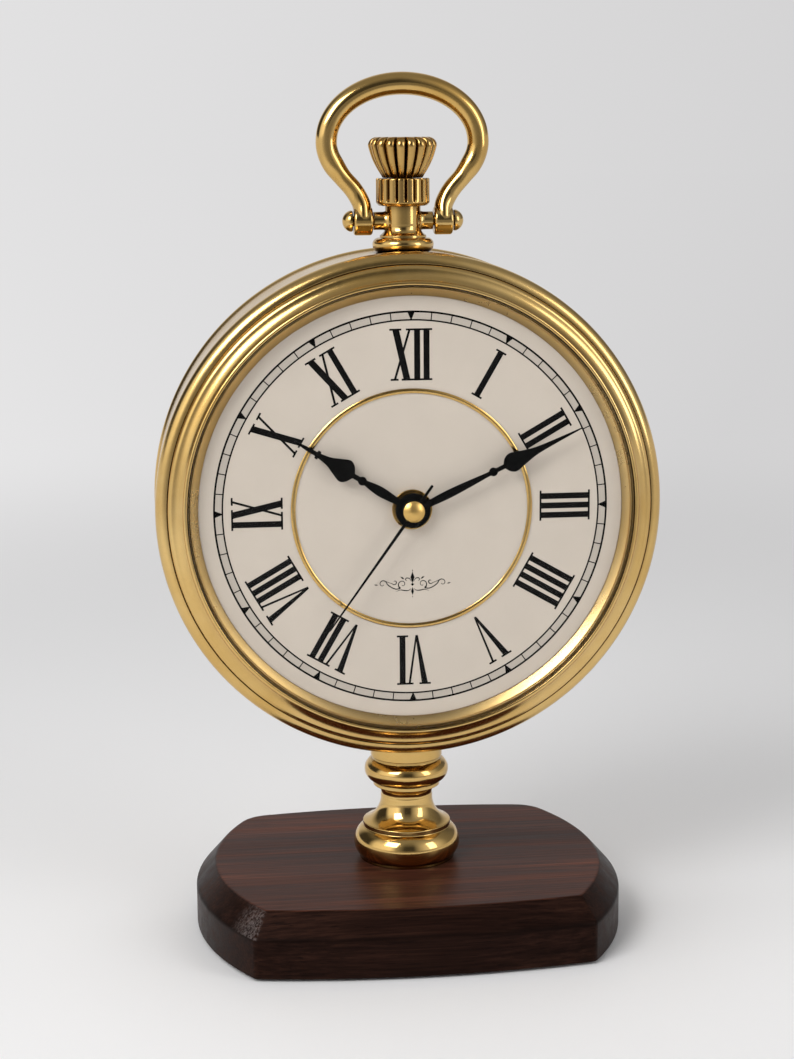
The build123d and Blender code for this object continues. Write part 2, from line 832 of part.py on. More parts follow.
# Pin through the pendant and the bow's eyes, with a domed screw at each end
screw_seat = bow_eye_start + bow_eye_width + bow_eye_gap
with BuildPart() as bow_pin:
    with BuildSketch(Plane.YZ):
        with Locations((0, pivot_height)):
            Circle(bow_pin_radius)
    extrude(amount=screw_seat, both=True)
save(bow_pin, "bow_pin")

screw_axis = Axis((0, 0, pivot_height), (1, 0, 0))
with BuildPart() as bow_screws:
    with BuildSketch(Plane.XZ):
        with BuildLine():
            dome_start = (screw_seat + bow_screw_edge, pivot_height + bow_screw_radius)
            dome_end = (screw_seat + bow_screw_height, pivot_height)
            dome_out, dome_up = dome_middle(bow_screw_radius, bow_screw_height - bow_screw_edge)
            dome_middle_point = (dome_start[0] + dome_up, pivot_height + dome_out)
            Polyline(dome_end, (screw_seat, pivot_height), (screw_seat, dome_start[1]), dome_start)
            ThreePointArc(dome_start, dome_middle_point, dome_end)
        make_face()
    revolve(axis=screw_axis)
    mirror(about=Plane.YZ)
save(bow_screws, "bow_screws")


# Movement: two housing halves, with the battery bay open to the back
movement_front = dial_back - gasket_thickness
movement_back = movement_front - movement_depth
cavity_front = movement_front - movement_wall
cavity_back = movement_back + movement_wall
split_front = movement_back + movement_split
cavity_half = movement_width / 2 - movement_wall
bay_height = 2 * (battery_radius + bay_clearance)
bay_top = bay_height - cavity_half
bay_middle = bay_top - bay_height / 2
train_bottom = bay_top + movement_wall
train_height = cavity_half - train_bottom
train_middle = train_bottom + train_height / 2
bush_bore = hour_pipe_radius + running_clearance
bush_front = dial_front + dial_washer_thickness + dial_nut_height + bush_proud
bush_length = bush_front - movement_front


def polar(distance, bearing, start=(0, 0)):
    """Spot at a distance and bearing from another, seen from the front."""
    angle = math.radians(bearing)
    return (start[0] + distance * math.cos(angle), start[1] + distance * math.sin(angle))


dial_spot = (0, 0)
motion_spot = polar(motion_distance, motion_bearing)
setting_module = 2 * motion_distance / (cannon_teeth + motion_teeth)
setting_distance = setting_module * (motion_teeth + setting_teeth) / 2
setting_spot = polar(setting_distance, setting_bearing, motion_spot)
third_spot = polar(third_distance, third_bearing)
intermediate_spot = polar(intermediate_distance, intermediate_bearing)
rotor_spot = polar(rotor_distance, rotor_bearing, intermediate_spot)
pivot_bore = pivot_radius + running_clearance
arbor_spots = [third_spot, intermediate_spot, rotor_spot]


def layer_front(layer):
    """Front face of a wheel in a given layer, counted from the dial side."""
    return cavity_front - end_float - layer * (wheel_thickness + layer_gap)


with BuildPart() as movement_front_housing:
    with BuildSketch(facing(split_front)):
        RectangleRounded(movement_width, movement_width, movement_corner)
    extrude(amount=movement_front - split_front)
    with BuildSketch(facing(split_front)):
        with Locations((0, bay_middle)):
            Rectangle(2 * cavity_half, bay_height)
        with Locations((0, train_middle)):
            Rectangle(2 * cavity_half, train_height)
    extrude(amount=cavity_front - split_front, mode=Mode.SUBTRACT)
    with BuildSketch(facing(movement_front)):
        Circle(bush_radius)
    extrude(amount=bush_length)
    with BuildSketch(facing(cavity_front)):
        Circle(bush_bore)
    extrude(amount=movement_wall + bush_length, mode=Mode.SUBTRACT)
    with BuildSketch(facing(cavity_front)):
        with Locations(*arbor_spots):
            Circle(pivot_bore)
        with Locations(setting_spot):
            Circle(pivot_bore)
    extrude(amount=pivot_length + running_clearance, mode=Mode.SUBTRACT)
    with BuildSketch(facing(cavity_front, motion_spot)):
        Circle(motion_stud_radius)
    extrude(amount=layer_front(2) + layer_gap / 2 - cavity_front)
save(movement_front_housing, "movement_front_housing")

coil_height = cavity_half - coil_top_gap - coil_flange_radius
board_front = cavity_back + board_stand + board_thickness
board_left = board_margin - cavity_half
board_bottom = train_bottom + board_margin
board_middle = (board_left + board_width / 2, board_bottom + board_length / 2)
board_reach = board_length / 2 - board_post_radius
board_spots = [(board_middle[0], board_middle[1] + side * board_reach) for side in (-1, 1)]
with BuildPart() as movement_rear_housing:
    with BuildSketch(facing(movement_back)):
        RectangleRounded(movement_width, movement_width, movement_corner)
    extrude(amount=movement_split)
    with BuildSketch(facing(movement_back)):
        with Locations((0, bay_middle)):
            Rectangle(2 * cavity_half, bay_height)
    extrude(amount=movement_split, mode=Mode.SUBTRACT)
    with BuildSketch(facing(cavity_back)):
        with Locations((0, train_middle)):
            Rectangle(2 * cavity_half, train_height)
    extrude(amount=movement_split - movement_wall, mode=Mode.SUBTRACT)
    with BuildSketch(facing(cavity_back)):
        with Locations(*arbor_spots, dial_spot):
            Circle(pivot_bore)
    extrude(amount=-pivot_length - running_clearance, mode=Mode.SUBTRACT)
    with BuildSketch(facing(cavity_back, setting_spot)):
        Circle(setting_shaft_radius + running_clearance)
    extrude(amount=-movement_wall, mode=Mode.SUBTRACT)
    with BuildSketch(facing(cavity_back)):
        with Locations(*board_spots):
            Circle(board_post_radius)
    extrude(amount=board_stand)
save(movement_rear_housing, "movement_rear_housing")

# Rubber gasket behind the dial, and the washer and round nut that hold the movement to it
with BuildPart() as movement_gasket:
    with BuildSketch(facing(movement_front)):
        RectangleRounded(movement_width - gasket_margin, movement_width - gasket_margin, movement_corner)
        Circle(bush_radius + seat_clearance, mode=Mode.SUBTRACT)
    extrude(amount=gasket_thickness)
save(movement_gasket, "movement_gasket")

washer_front = dial_front + dial_washer_thickness
dial_washer = dial_disc(dial_washer_radius, bush_radius + seat_clearance, dial_front, washer_front)
save(dial_washer, "dial_washer")
dial_nut = dial_disc(
    dial_nut_radius, bush_radius + running_clearance, washer_front, washer_front + dial_nut_height
)
save(dial_nut, "dial_nut")

# Battery in its bay, with a sprung contact at one end and a flat one at the other
battery_front = movement_back - battery_proud + battery_radius
battery_height = dial_height + bay_middle
battery_end = cavity_half - contact_thickness - battery_nub_length
with BuildPart() as battery:
    with BuildSketch(Plane.YZ.offset(battery_end)):
        with Locations((-battery_front, battery_height)):
            Circle(battery_radius)
    extrude(amount=battery_nub_length - battery_length)
    with BuildSketch(Plane.YZ.offset(battery_end)):
        with Locations((-battery_front, battery_height)):
            Circle(battery_nub_radius)
    extrude(amount=battery_nub_length)
save(battery, "battery")

contact_back = battery_front - contact_width / 2
with BuildPart() as positive_contact:
    with BuildSketch(facing(contact_back)):
        with Locations((cavity_half - contact_thickness / 2, bay_middle)):
            Rectangle(contact_thickness, contact_width)
    extrude(amount=contact_width)
save(positive_contact, "positive_contact")

contact_left = -cavity_half
leaf_ends = (bay_middle - contact_width / 2, bay_middle + contact_width / 2)
with BuildPart() as negative_contact:
    with BuildSketch(facing(contact_back)):
        with BuildLine():
            inner = contact_left + contact_thickness
            crest = (inner + contact_bulge, bay_middle)
            Polyline((inner, leaf_ends[1]), (contact_left, leaf_ends[1]), (contact_left, leaf_ends[0]))
            Line((contact_left, leaf_ends[0]), (inner, leaf_ends[0]))
            ThreePointArc((inner, leaf_ends[0]), crest, (inner, leaf_ends[1]))
        make_face()
        with BuildLine():
            hollow = (contact_left + contact_bulge, bay_middle)
            ThreePointArc((contact_left, leaf_ends[0]), hollow, (contact_left, leaf_ends[1]))
            Line((contact_left, leaf_ends[1]), (contact_left, leaf_ends[0]))
        make_face(mode=Mode.SUBTRACT)
    extrude(amount=contact_width)
save(negative_contact, "negative_contact")


# Wheels and pinions with stub teeth, all turned so that they mesh as the hands stand
def mesh_turn(bearing, driver_teeth, driver_turn, driven_teeth):
    """Turn of a driven wheel whose gap takes the driver's tooth on the line between their axes."""
    driver_phase = (bearing - driver_turn) * driver_teeth / 360
    return bearing + 180 - (0.5 - driver_phase) * 360 / driven_teeth


def toothed_face(teeth, module, turn):
    """Outline of a wheel: straight-sided teeth on a root circle."""
    pitch_radius = teeth * module / 2
    tip = pitch_radius + tip_share * module
    root = pitch_radius - root_share * module
    flank = [(root, -root_width_share), (tip, -tip_width_share)]
    corners = flank + [(radius, -share) for radius, share in reversed(flank)]
    points = []
    for tooth in range(teeth):
        for radius, share in corners:
            angle = math.radians(turn + (tooth + share) * 360 / teeth)
            points.append((radius * math.cos(angle), radius * math.sin(angle)))
    with BuildLine() as outline:
        Polyline(*points, close=True)
    make_face(outline.edges())


def toothed_layer(spot, layer, teeth, module, turn, extra=0):
    """One wheel or pinion in its layer, added to the piece being built."""
    front = layer_front(layer) + extra
    with BuildSketch(facing(front, spot)) as wheel:
        toothed_face(teeth, module, turn)
    extrude(wheel.sketch, amount=-wheel_thickness - 2 * extra)


def arbor(spot):
    """Arbor from wall to wall of the housing, with a pivot at each end."""
    with BuildSketch(facing(cavity_back + running_clearance, spot)) as body:
        Circle(arbor_radius)
    extrude(body.sketch, amount=cavity_front - cavity_back - 2 * running_clearance)
    with BuildSketch(facing(cavity_back - pivot_length, spot)) as pivots:
        Circle(pivot_radius)
    extrude(pivots.sketch, amount=cavity_front - cavity_back + 2 * pivot_length)


hour_module = 2 * motion_distance / (hour_teeth + motion_pinion_teeth)
centre_module = 2 * third_distance / (centre_teeth + third_pinion_teeth)
third_module = 2 * third_distance / (third_teeth + second_pinion_teeth)
second_module = 2 * intermediate_distance / (second_teeth + intermediate_pinion_teeth)
rotor_module = 2 * rotor_distance / (intermediate_teeth + rotor_pinion_teeth)
cannon_turn = 0
motion_turn = mesh_turn(motion_bearing, cannon_teeth, cannon_turn, motion_teeth)
setting_turn = mesh_turn(setting_bearing, motion_teeth, motion_turn, setting_teeth)
hour_turn = mesh_turn(motion_bearing + 180, motion_pinion_teeth, motion_turn, hour_teeth)
second_turn = 0
third_turn = mesh_turn(third_bearing, second_pinion_teeth, second_turn, third_teeth)
centre_turn = mesh_turn(third_bearing + 180, third_pinion_teeth, third_turn, centre_teeth)
intermediate_turn = mesh_turn(intermediate_bearing, second_teeth, second_turn, intermediate_pinion_teeth)
rotor_turn = mesh_turn(rotor_bearing, intermediate_teeth, intermediate_turn, rotor_pinion_teeth)
hour_hand_front = bush_front + hand_gap + hand_thickness
minute_hand_front = hour_hand_front + hand_gap + hand_thickness
second_hand_front = minute_hand_front + hand_gap + hand_thickness

with BuildPart() as hour_wheel:
    toothed_layer(dial_spot, 0, hour_teeth, hour_module, hour_turn)
    with BuildSketch(facing(layer_front(0))):
        Circle(hour_pipe_radius)
    extrude(amount=hour_hand_front - layer_front(0))
    with BuildSketch(facing(layer_front(1))):
        Circle(cannon_radius + running_clearance)
    extrude(amount=hour_hand_front - layer_front(1), mode=Mode.SUBTRACT)
save(hour_wheel, "hour_wheel")

with BuildPart() as motion_wheel:
    toothed_layer(motion_spot, 1, motion_teeth, setting_module, motion_turn)
    with BuildSketch(facing(layer_front(1), motion_spot)):
        toothed_face(motion_pinion_teeth, hour_module, motion_turn)
    extrude(amount=layer_front(0) + pinion_extra - layer_front(1))
    with BuildSketch(facing(layer_front(2), motion_spot)):
        Circle(motion_stud_radius + running_clearance)
    extrude(amount=layer_front(0) + layer_gap - layer_front(2), mode=Mode.SUBTRACT)
save(motion_wheel, "motion_wheel")

cannon_back = layer_front(2) - wheel_thickness - layer_gap / 2
with BuildPart() as cannon_pinion:
    with BuildSketch(facing(cannon_back)):
        Circle(cannon_radius)
    extrude(amount=minute_hand_front - cannon_back)
    toothed_layer(dial_spot, 1, cannon_teeth, setting_module, cannon_turn, pinion_extra)
    with BuildSketch(facing(cannon_back)):
        Circle(second_arbor_radius + running_clearance)
    extrude(amount=minute_hand_front - cannon_back, mode=Mode.SUBTRACT)
save(cannon_pinion, "cannon_pinion")

with BuildPart() as centre_wheel:
    toothed_layer(dial_spot, 2, centre_teeth, centre_module, centre_turn)
    with BuildSketch(facing(layer_front(2))):
        Circle(cannon_radius + running_clearance)
    extrude(amount=-wheel_thickness, mode=Mode.SUBTRACT)
save(centre_wheel, "centre_wheel")

with BuildPart() as third_wheel:
    arbor(third_spot)
    toothed_layer(third_spot, 2, third_pinion_teeth, centre_module, third_turn, pinion_extra)
    toothed_layer(third_spot, 3, third_teeth, third_module, third_turn)
save(third_wheel, "third_wheel")

with BuildPart() as second_wheel:
    with BuildSketch(facing(cavity_back + running_clearance)):
        Circle(second_arbor_radius)
    extrude(amount=second_hand_front - cavity_back - running_clearance)
    with BuildSketch(facing(cavity_back - pivot_length)):
        Circle(pivot_radius)
    extrude(amount=wheel_thickness + pivot_length)
    toothed_layer(dial_spot, 3, second_pinion_teeth, third_module, second_turn, pinion_extra)
    toothed_layer(dial_spot, 4, second_teeth, second_module, second_turn)
save(second_wheel, "second_wheel")

with BuildPart() as intermediate_wheel:
    arbor(intermediate_spot)
    pinion = (intermediate_pinion_teeth, second_module)
    toothed_layer(intermediate_spot, 4, *pinion, intermediate_turn, pinion_extra)
    toothed_layer(intermediate_spot, motor_layer, intermediate_teeth, rotor_module, intermediate_turn)
save(intermediate_wheel, "intermediate_wheel")

# Motor: rotor magnet between the poles of a stator plate, with a coil on its core
magnet_back = layer_front(motor_layer) + layer_gap
stator_back = magnet_back + (magnet_thickness - stator_thickness) / 2
with BuildPart() as rotor:
    arbor(rotor_spot)
    toothed_layer(rotor_spot, motor_layer, rotor_pinion_teeth, rotor_module, rotor_turn, pinion_extra)
    with BuildSketch(facing(magnet_back, rotor_spot)):
        Circle(magnet_radius)
    extrude(amount=magnet_thickness)
save(rotor, "rotor")

stator_top = coil_height + stator_limb / 2
limb_middle = stator_half_width - stator_limb / 2
bar_bottom = rotor_spot[1] - stator_bar / 2
limb_height = (bar_bottom + stator_top) / 2
with BuildPart() as stator:
    with BuildSketch(facing(stator_back)):
        with Locations((0, rotor_spot[1])):
            Rectangle(2 * stator_half_width, stator_bar)
        with Locations((-limb_middle, limb_height), (limb_middle, limb_height)):
            Rectangle(stator_limb, stator_top - bar_bottom)
        with Locations(rotor_spot):
            Circle(magnet_radius + stator_gap + stator_ring_wall)
            Circle(magnet_radius + stator_gap, mode=Mode.SUBTRACT)
    extrude(amount=stator_thickness)
save(stator, "stator")

with BuildPart() as coil_core:
    with BuildSketch(facing(stator_back)):
        with Locations((0, coil_height)):
            Rectangle(2 * stator_half_width, core_width)
    extrude(amount=-stator_thickness)
save(coil_core, "coil_core")

coil_front = stator_back - stator_thickness / 2
with BuildPart() as coil:
    with BuildSketch(Plane.YZ):
        with Locations((-coil_front, dial_height + coil_height)):
            Circle(coil_radius)
    extrude(amount=coil_half_length, both=True)
    for side in (-1, 1):
        with BuildSketch(Plane.YZ.offset(side * coil_half_length)):
            with Locations((-coil_front, dial_height + coil_height)):
                Circle(coil_flange_radius)
        extrude(amount=-side * coil_flange_thickness)
    with BuildSketch(Plane.YZ):
        with Locations((-coil_front, dial_height + coil_height)):
            Rectangle(stator_thickness + 2 * seat_clearance, core_width + 2 * seat_clearance)
    extrude(amount=coil_half_length, both=True, mode=Mode.SUBTRACT)
save(coil, "coil")

# Circuit board on its posts, with a quartz crystal and a chip
with BuildPart() as circuit_board:
    with BuildSketch(facing(board_front)):
        with Locations(board_middle):
            Rectangle(board_width, board_length)
    extrude(amount=-board_thickness)
save(circuit_board, "circuit_board")

crystal_front = board_front + crystal_radius
crystal_start = board_middle[1] + chip_radius + board_margin
with BuildPart() as quartz_crystal:
    with BuildSketch(upright(dial_height + crystal_start)):
        with Locations((board_middle[0], -crystal_front)):
            Circle(crystal_radius)
    extrude(amount=crystal_length)
save(quartz_crystal, "quartz_crystal")

with BuildPart() as chip:
    with BuildSketch(facing(board_front, board_middle)):
        Circle(chip_radius)
    extrude(amount=chip_height)
    fillet(chip.faces().sort_by(Axis.Y)[0].edges(), chip_height / 2)
save(chip, "chip")

# Setting knob on a shaft that turns the motion wheel
knob_front = movement_back - knob_gap
with BuildPart() as setting_knob:
    with BuildSketch(facing(cavity_front - running_clearance, setting_spot)):
        Circle(pivot_radius)
    extrude(amount=pivot_length)
    with BuildSketch(facing(knob_front, setting_spot)):
        Circle(setting_shaft_radius)
    extrude(amount=cavity_front - running_clearance - knob_front)
    toothed_layer(setting_spot, 1, setting_teeth, setting_module, setting_turn, pinion_extra)
    with BuildSketch(facing(knob_front, setting_spot)):
        Circle(knob_radius)
        with PolarLocations(knob_radius, knob_ribs):
            Circle(knob_rib_depth, mode=Mode.SUBTRACT)
    extrude(amount=-knob_thickness)
save(setting_knob, "setting_knob")


# Hands, each cut from sheet and pressed on its pipe
def share_points(shares, length):
    """Outline points from shares of a hand's length, half width first."""
    return [(half * length, along * length) for half, along in shares]


def mirrored_blade(shares, length, smooth=True):
    """Blade that is the same on both sides of the hand's middle line."""
    points = share_points(shares, length)
    with BuildLine() as outline:
        if smooth:
            Spline(*points)
        else:
            Polyline(*points)
        Line(points[-1], (0, points[-1][1]))
        Line((0, points[0][1]), points[0])
        mirror(about=Plane.YZ)
    make_face(outline.edges())


with BuildPart() as hour_hand:
    with BuildSketch(facing(hour_hand_front, dial_spot, -hour_hand_turn)):
        Circle(hour_hub_radius)
        mirrored_blade(hour_leaf_shares, hour_hand_length)
        mirrored_blade(hour_neck_shares, hour_hand_length, smooth=False)
        with Locations((0, hour_bead_share * hour_hand_length)):
            Circle(hour_bead_radius_share * hour_hand_length)
        mirrored_blade(hour_spade_shares, hour_hand_length)
        mirrored_blade(hour_collar_shares, hour_hand_length, smooth=False)
        mirrored_blade(hour_tip_shares, hour_hand_length, smooth=False)
        Circle(hour_pipe_radius, mode=Mode.SUBTRACT)
    extrude(amount=-hand_thickness)
save(hour_hand, "hour_hand")

with BuildPart() as minute_hand:
    with BuildSketch(facing(minute_hand_front, dial_spot, -minute_hand_turn)):
        Circle(minute_hub_radius)
        mirrored_blade(minute_leaf_shares, minute_hand_length)
        mirrored_blade(minute_neck_shares, minute_hand_length, smooth=False)
        with Locations((0, minute_bead_share * minute_hand_length)):
            Circle(minute_bead_radius_share * minute_hand_length)
        mirrored_blade(minute_spade_shares, minute_hand_length)
        Circle(cannon_radius, mode=Mode.SUBTRACT)
    extrude(amount=-hand_thickness)
save(minute_hand, "minute_hand")

with BuildPart() as second_hand:
    with BuildSketch(facing(second_hand_front, dial_spot, -second_hand_turn)):
        with BuildLine():
            Polyline(
                (second_hand_tail_half_width, -second_hand_tail),
                (second_hand_half_width, 0),
                (second_hand_tip_half_width, second_hand_length),
                (-second_hand_tip_half_width, second_hand_length),
                (-second_hand_half_width, 0),
                (-second_hand_tail_half_width, -second_hand_tail),
                close=True,
            )
        make_face()
        Circle(second_hub_radius)
        Circle(second_arbor_radius, mode=Mode.SUBTRACT)
    extrude(amount=-hand_thickness)
save(second_hand, "second_hand")

# Domed cap over the end of the second hand's arbor
with BuildPart() as hand_cap:
    with BuildSketch(turning_plane):
        with BuildLine():
            cap_out, cap_up = dome_middle(cap_radius, cap_height)
            Line((0, second_hand_front), (cap_radius, second_hand_front))
            ThreePointArc(
                (cap_radius, second_hand_front),
                (cap_out, second_hand_front + cap_up),
                (0, second_hand_front + cap_height),
            )
            Line((0, second_hand_front + cap_height), (0, second_hand_front))
        make_face()
    revolve(axis=dial_axis)
save(hand_cap, "hand_cap")
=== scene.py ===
import json
import math
from types import SimpleNamespace

import bmesh
import bpy
from mathutils import Matrix, Vector


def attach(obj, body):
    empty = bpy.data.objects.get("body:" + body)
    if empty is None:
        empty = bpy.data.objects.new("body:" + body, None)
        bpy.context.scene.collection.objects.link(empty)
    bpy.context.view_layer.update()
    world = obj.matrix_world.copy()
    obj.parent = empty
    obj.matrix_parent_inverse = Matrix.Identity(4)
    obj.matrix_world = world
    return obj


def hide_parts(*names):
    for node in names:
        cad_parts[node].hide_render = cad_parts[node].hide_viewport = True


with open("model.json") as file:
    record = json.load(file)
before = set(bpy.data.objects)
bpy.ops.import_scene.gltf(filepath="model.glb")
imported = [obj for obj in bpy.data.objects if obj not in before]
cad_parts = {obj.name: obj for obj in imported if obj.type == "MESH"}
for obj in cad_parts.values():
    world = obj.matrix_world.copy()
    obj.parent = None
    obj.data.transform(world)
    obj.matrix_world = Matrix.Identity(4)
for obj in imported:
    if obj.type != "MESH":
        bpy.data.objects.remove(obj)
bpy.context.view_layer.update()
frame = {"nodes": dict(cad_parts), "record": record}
cadNodes = frame["nodes"]
print("frame loaded,", len(cadNodes), "nodes")

mm = 0.001
tiny = 1e-9          # shorter than any edge
weldGap = 2e-6       # closer vertices are one
stand = "stand_and_case"
dialHeight = 132.0   # dial axis above the table
dialFront = 18.0     # dial face in front of the pillar axis
caseSeat = 74.6      # radius on which pillar and pendant sit


def sizes(given):
    return SimpleNamespace(**given)


def shares(steps):
    return [k / steps for k in range(steps + 1)]


# Outlines

def arcThrough(a, b, c, steps):
    (ax, ay), (bx, by), (cx, cy) = a, b, c
    d = 2 * (ax * (by - cy) + bx * (cy - ay) + cx * (ay - by))
    if abs(d) < tiny:
        return [b, c]
    sa, sb, sc = (p[0] ** 2 + p[1] ** 2 for p in (a, b, c))
    ux = (sa * (by - cy) + sb * (cy - ay) + sc * (ay - by)) / d
    uy = (sa * (cx - bx) + sb * (ax - cx) + sc * (bx - ax)) / d
    radius = math.hypot(ax - ux, ay - uy)
    start, middle, end = (math.atan2(p[1] - uy, p[0] - ux) for p in (a, b, c))
    turn = (end - start) % math.tau
    if (middle - start) % math.tau > turn:
        turn -= math.tau
    angles = [start + turn * k / steps for k in range(1, steps + 1)]
    return [(ux + radius * math.cos(t), uy + radius * math.sin(t)) for t in angles]


def tracePath(path, steps=12):
    points = [path[0]]
    for item in path[1:]:
        if isinstance(item[0], tuple):   # (middle, end) is an arc
            points += arcThrough(points[-1], item[0], item[1], steps)
        else:
            points.append(item)
    return points


def bend(first, corner, last, t):
    return first * (1 - t) ** 2 + corner * 2 * t * (1 - t) + last * t ** 2


def easeCorners(points, radius, closed=True, sharpest=24, rounds=4, most=0.4):
    eased = []
    count = len(points)
    for i, p in enumerate(points):
        spot = Vector(p[:2])
        back = Vector(points[i - 1][:2]) - spot
        ahead = Vector(points[(i + 1) % count][:2]) - spot
        plain = (not closed and i in (0, count - 1)) or min(back.length, ahead.length) < tiny
        if plain or 180 - math.degrees(back.angle(ahead)) < sharpest:
            eased.append(p)
            continue
        cut = min(radius, most * back.length, most * ahead.length)
        first = spot + back.normalized() * cut
        last = spot + ahead.normalized() * cut
        eased += [tuple(bend(first, spot, last, t)) for t in shares(rounds)]
    return eased


def holdFlats(points, gap, closed=True):   # close rows beside each edge keep the flats flat
    held = []
    count = len(points)
    for i, p in enumerate(points):
        held.append(p)
        if not closed and i == count - 1:
            break
        n = points[(i + 1) % count]
        run = math.hypot(n[0] - p[0], n[1] - p[1])
        if run > 5 * gap:
            for share in (gap / run, 1 - gap / run):
                held.append((p[0] + (n[0] - p[0]) * share, p[1] + (n[1] - p[1]) * share))
    return held


def smoothRun(points, steps):
    run = []
    last = len(points) - 1
    for i in range(last):
        p0, p1, p2, p3 = (Vector(points[min(max(i + k, 0), last)]) for k in (-1, 0, 1, 2))
        for t in shares(steps)[:-1]:
            run.append(0.5 * (2 * p1 + (p2 - p0) * t + (2 * p0 - 5 * p1 + 4 * p2 - p3) * t ** 2
                              + (3 * p1 - p0 - 3 * p2 + p3) * t ** 3))
    run.append(Vector(points[last]))
    return run


def ballRadius(half, rise):   # of the arc over a chord
    return (half ** 2 + rise ** 2) / (2 * rise)


def domeArc(radius, rise, top):   # from the rim to the pole
    ball = ballRadius(radius, rise)
    turn = math.asin(radius / ball) / 2
    return (ball * math.sin(turn), top - ball * (1 - math.cos(turn))), (0, top)


# Places for turned pieces: radius, height along the axis, angle

def upright(r, h, angle):
    return Vector((r * math.cos(angle), r * math.sin(angle), h)) * mm


def facing(r, front, angle):
    return Vector((r * math.sin(angle), -front, dialHeight + r * math.cos(angle))) * mm


def sideways(height, front=0.0):
    def place(r, x, angle):
        return Vector((x, -front + r * math.cos(angle), height + r * math.sin(angle))) * mm
    return place


def saddle(low, high, under):
    def place(r, h, angle):   # ends of a turned piece that follow the round case
        x = r * math.cos(angle)
        drop = caseSeat - math.sqrt(caseSeat ** 2 - x * x)
        weight = min(max((h - low) / (high - low), 0), 1)
        return upright(r, h + (drop * weight if under else -drop * (1 - weight)), angle)
    return place


# Meshes

def shadeSmooth(mesh, angle=38):
    for polygon in mesh.polygons:
        polygon.use_smooth = True
    mesh.set_sharp_from_angle(angle=math.radians(angle))
    return mesh


def meshFrom(bm, name, angle=38, turnOut=True):
    if turnOut:
        bmesh.ops.recalc_face_normals(bm, faces=bm.faces)
    mesh = bpy.data.meshes.new(name)
    bm.to_mesh(mesh)
    bm.free()
    return shadeSmooth(mesh, angle)


def joinRows(bm, low, high):   # a row of one vertex is a pole
    count = max(len(low), len(high))
    for k in range(count if count > 1 else 0):
        n = (k + 1) % count
        corners = (low[k % len(low)], low[n % len(low)], high[n % len(high)], high[k % len(high)])
        bm.faces.new(list(dict.fromkeys(corners)))


def turnedMesh(name, points, place, steps=192, closed=True, angle=38):
    bm = bmesh.new()
    share = bm.verts.layers.float.new("fluteShare")
    rings = []
    for r, h, *deep in points:
        around = 1 if r < tiny else steps
        ring = [bm.verts.new(place(r, h, math.tau * k / steps)) for k in range(around)]
        for v in ring:
            v[share] = deep[0] if deep else 0.0
        rings.append(ring)
    for low, high in zip(rings, rings[1:] + rings[:1] if closed else rings[1:]):
        joinRows(bm, low, high)
    return meshFrom(bm, name, angle)


def stackMesh(name, loops, angle=38):
    bm = bmesh.new()
    rows = [[bm.verts.new(Vector(p) * mm) for p in loop] for loop in loops]
    for low, high in zip(rows, rows[1:]):
        joinRows(bm, low, high)
    bm.faces.new(rows[0])
    bm.faces.new(rows[-1])
    return meshFrom(bm, name, angle)


def looseObject(name, data):
    loose = bpy.data.objects.new(name, data)
    bpy.context.scene.collection.objects.link(loose)
    return loose


def plainMesh(loose):   # what the modifiers make, without them
    bpy.context.view_layer.update()
    graph = bpy.context.evaluated_depsgraph_get()
    mesh = bpy.data.meshes.new_from_object(loose.evaluated_get(graph))
    loose.modifiers.clear()
    bpy.data.objects.remove(loose)
    return mesh


def cutOrJoin(name, first, others, operation):
    base = looseObject(name + "Base", first)
    tools = [looseObject(name + "Tool", mesh) for mesh in others]
    for tool in tools:
        change = base.modifiers.new("shape", "BOOLEAN")
        change.operation = operation
        change.solver = "EXACT"
        change.object = tool
    mesh = plainMesh(base)
    for tool in tools:
        bpy.data.objects.remove(tool)
    return mesh


def joinedMesh(name, meshes):
    bm = bmesh.new()
    for mesh in meshes:
        bm.from_mesh(mesh)
    return meshFrom(bm, name, turnOut=False)


def newPiece(name, mesh, finishName, *replaced, body=stand):
    mesh.name = name
    mesh.materials.clear()
    mesh.materials.append(finishes[finishName])
    piece = looseObject(name, mesh)
    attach(piece, body)
    if replaced:
        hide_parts(*replaced)
    return piece


def turnedPiece(name, path, finishName, node, ease, flat, steps=12, around=288, sharpest=24):
    points = holdFlats(easeCorners(tracePath(path, steps), ease, sharpest=sharpest), flat)
    newPiece(name, turnedMesh(name, points, facing, around), finishName, node)


# Nodes

def feed(tree, socket, value):   # links a socket, sets a value
    if hasattr(value, "is_linked"):
        tree.links.new(value, socket)
    elif value is not None:
        socket.default_value = value


def addNode(tree, kind, inputs=None, **settings):
    node = tree.nodes.new(kind)
    for key, value in settings.items():
        setattr(node, key, value)
    for key, value in (inputs or {}).items():
        feed(tree, node.inputs[key], value)
    return node


def math1(tree, operation, a, b=None):
    return addNode(tree, "ShaderNodeMath", {0: a, 1: b}, operation=operation).outputs[0]


def weightedSum(tree, pairs):
    total = None
    for socket, weight in pairs:
        part = math1(tree, "MULTIPLY", socket, weight)
        total = part if total is None else math1(tree, "ADD", total, part)
    return total


def objectPlace(tree):
    return addNode(tree, "ShaderNodeTexCoord").outputs["Object"]


def objectNoise(tree, scale, detail=4.0, stretch=(1, 1, 1), roughness=0.5, shift=(0, 0, 0)):
    turn = addNode(tree, "ShaderNodeMapping", {"Scale": stretch, "Location": shift,
                                               "Vector": objectPlace(tree)})
    noise = addNode(tree, "ShaderNodeTexNoise", {"Scale": scale, "Detail": detail, "Roughness": roughness,
                                                 "Vector": turn.outputs["Vector"]})
    return noise.outputs["Fac"]


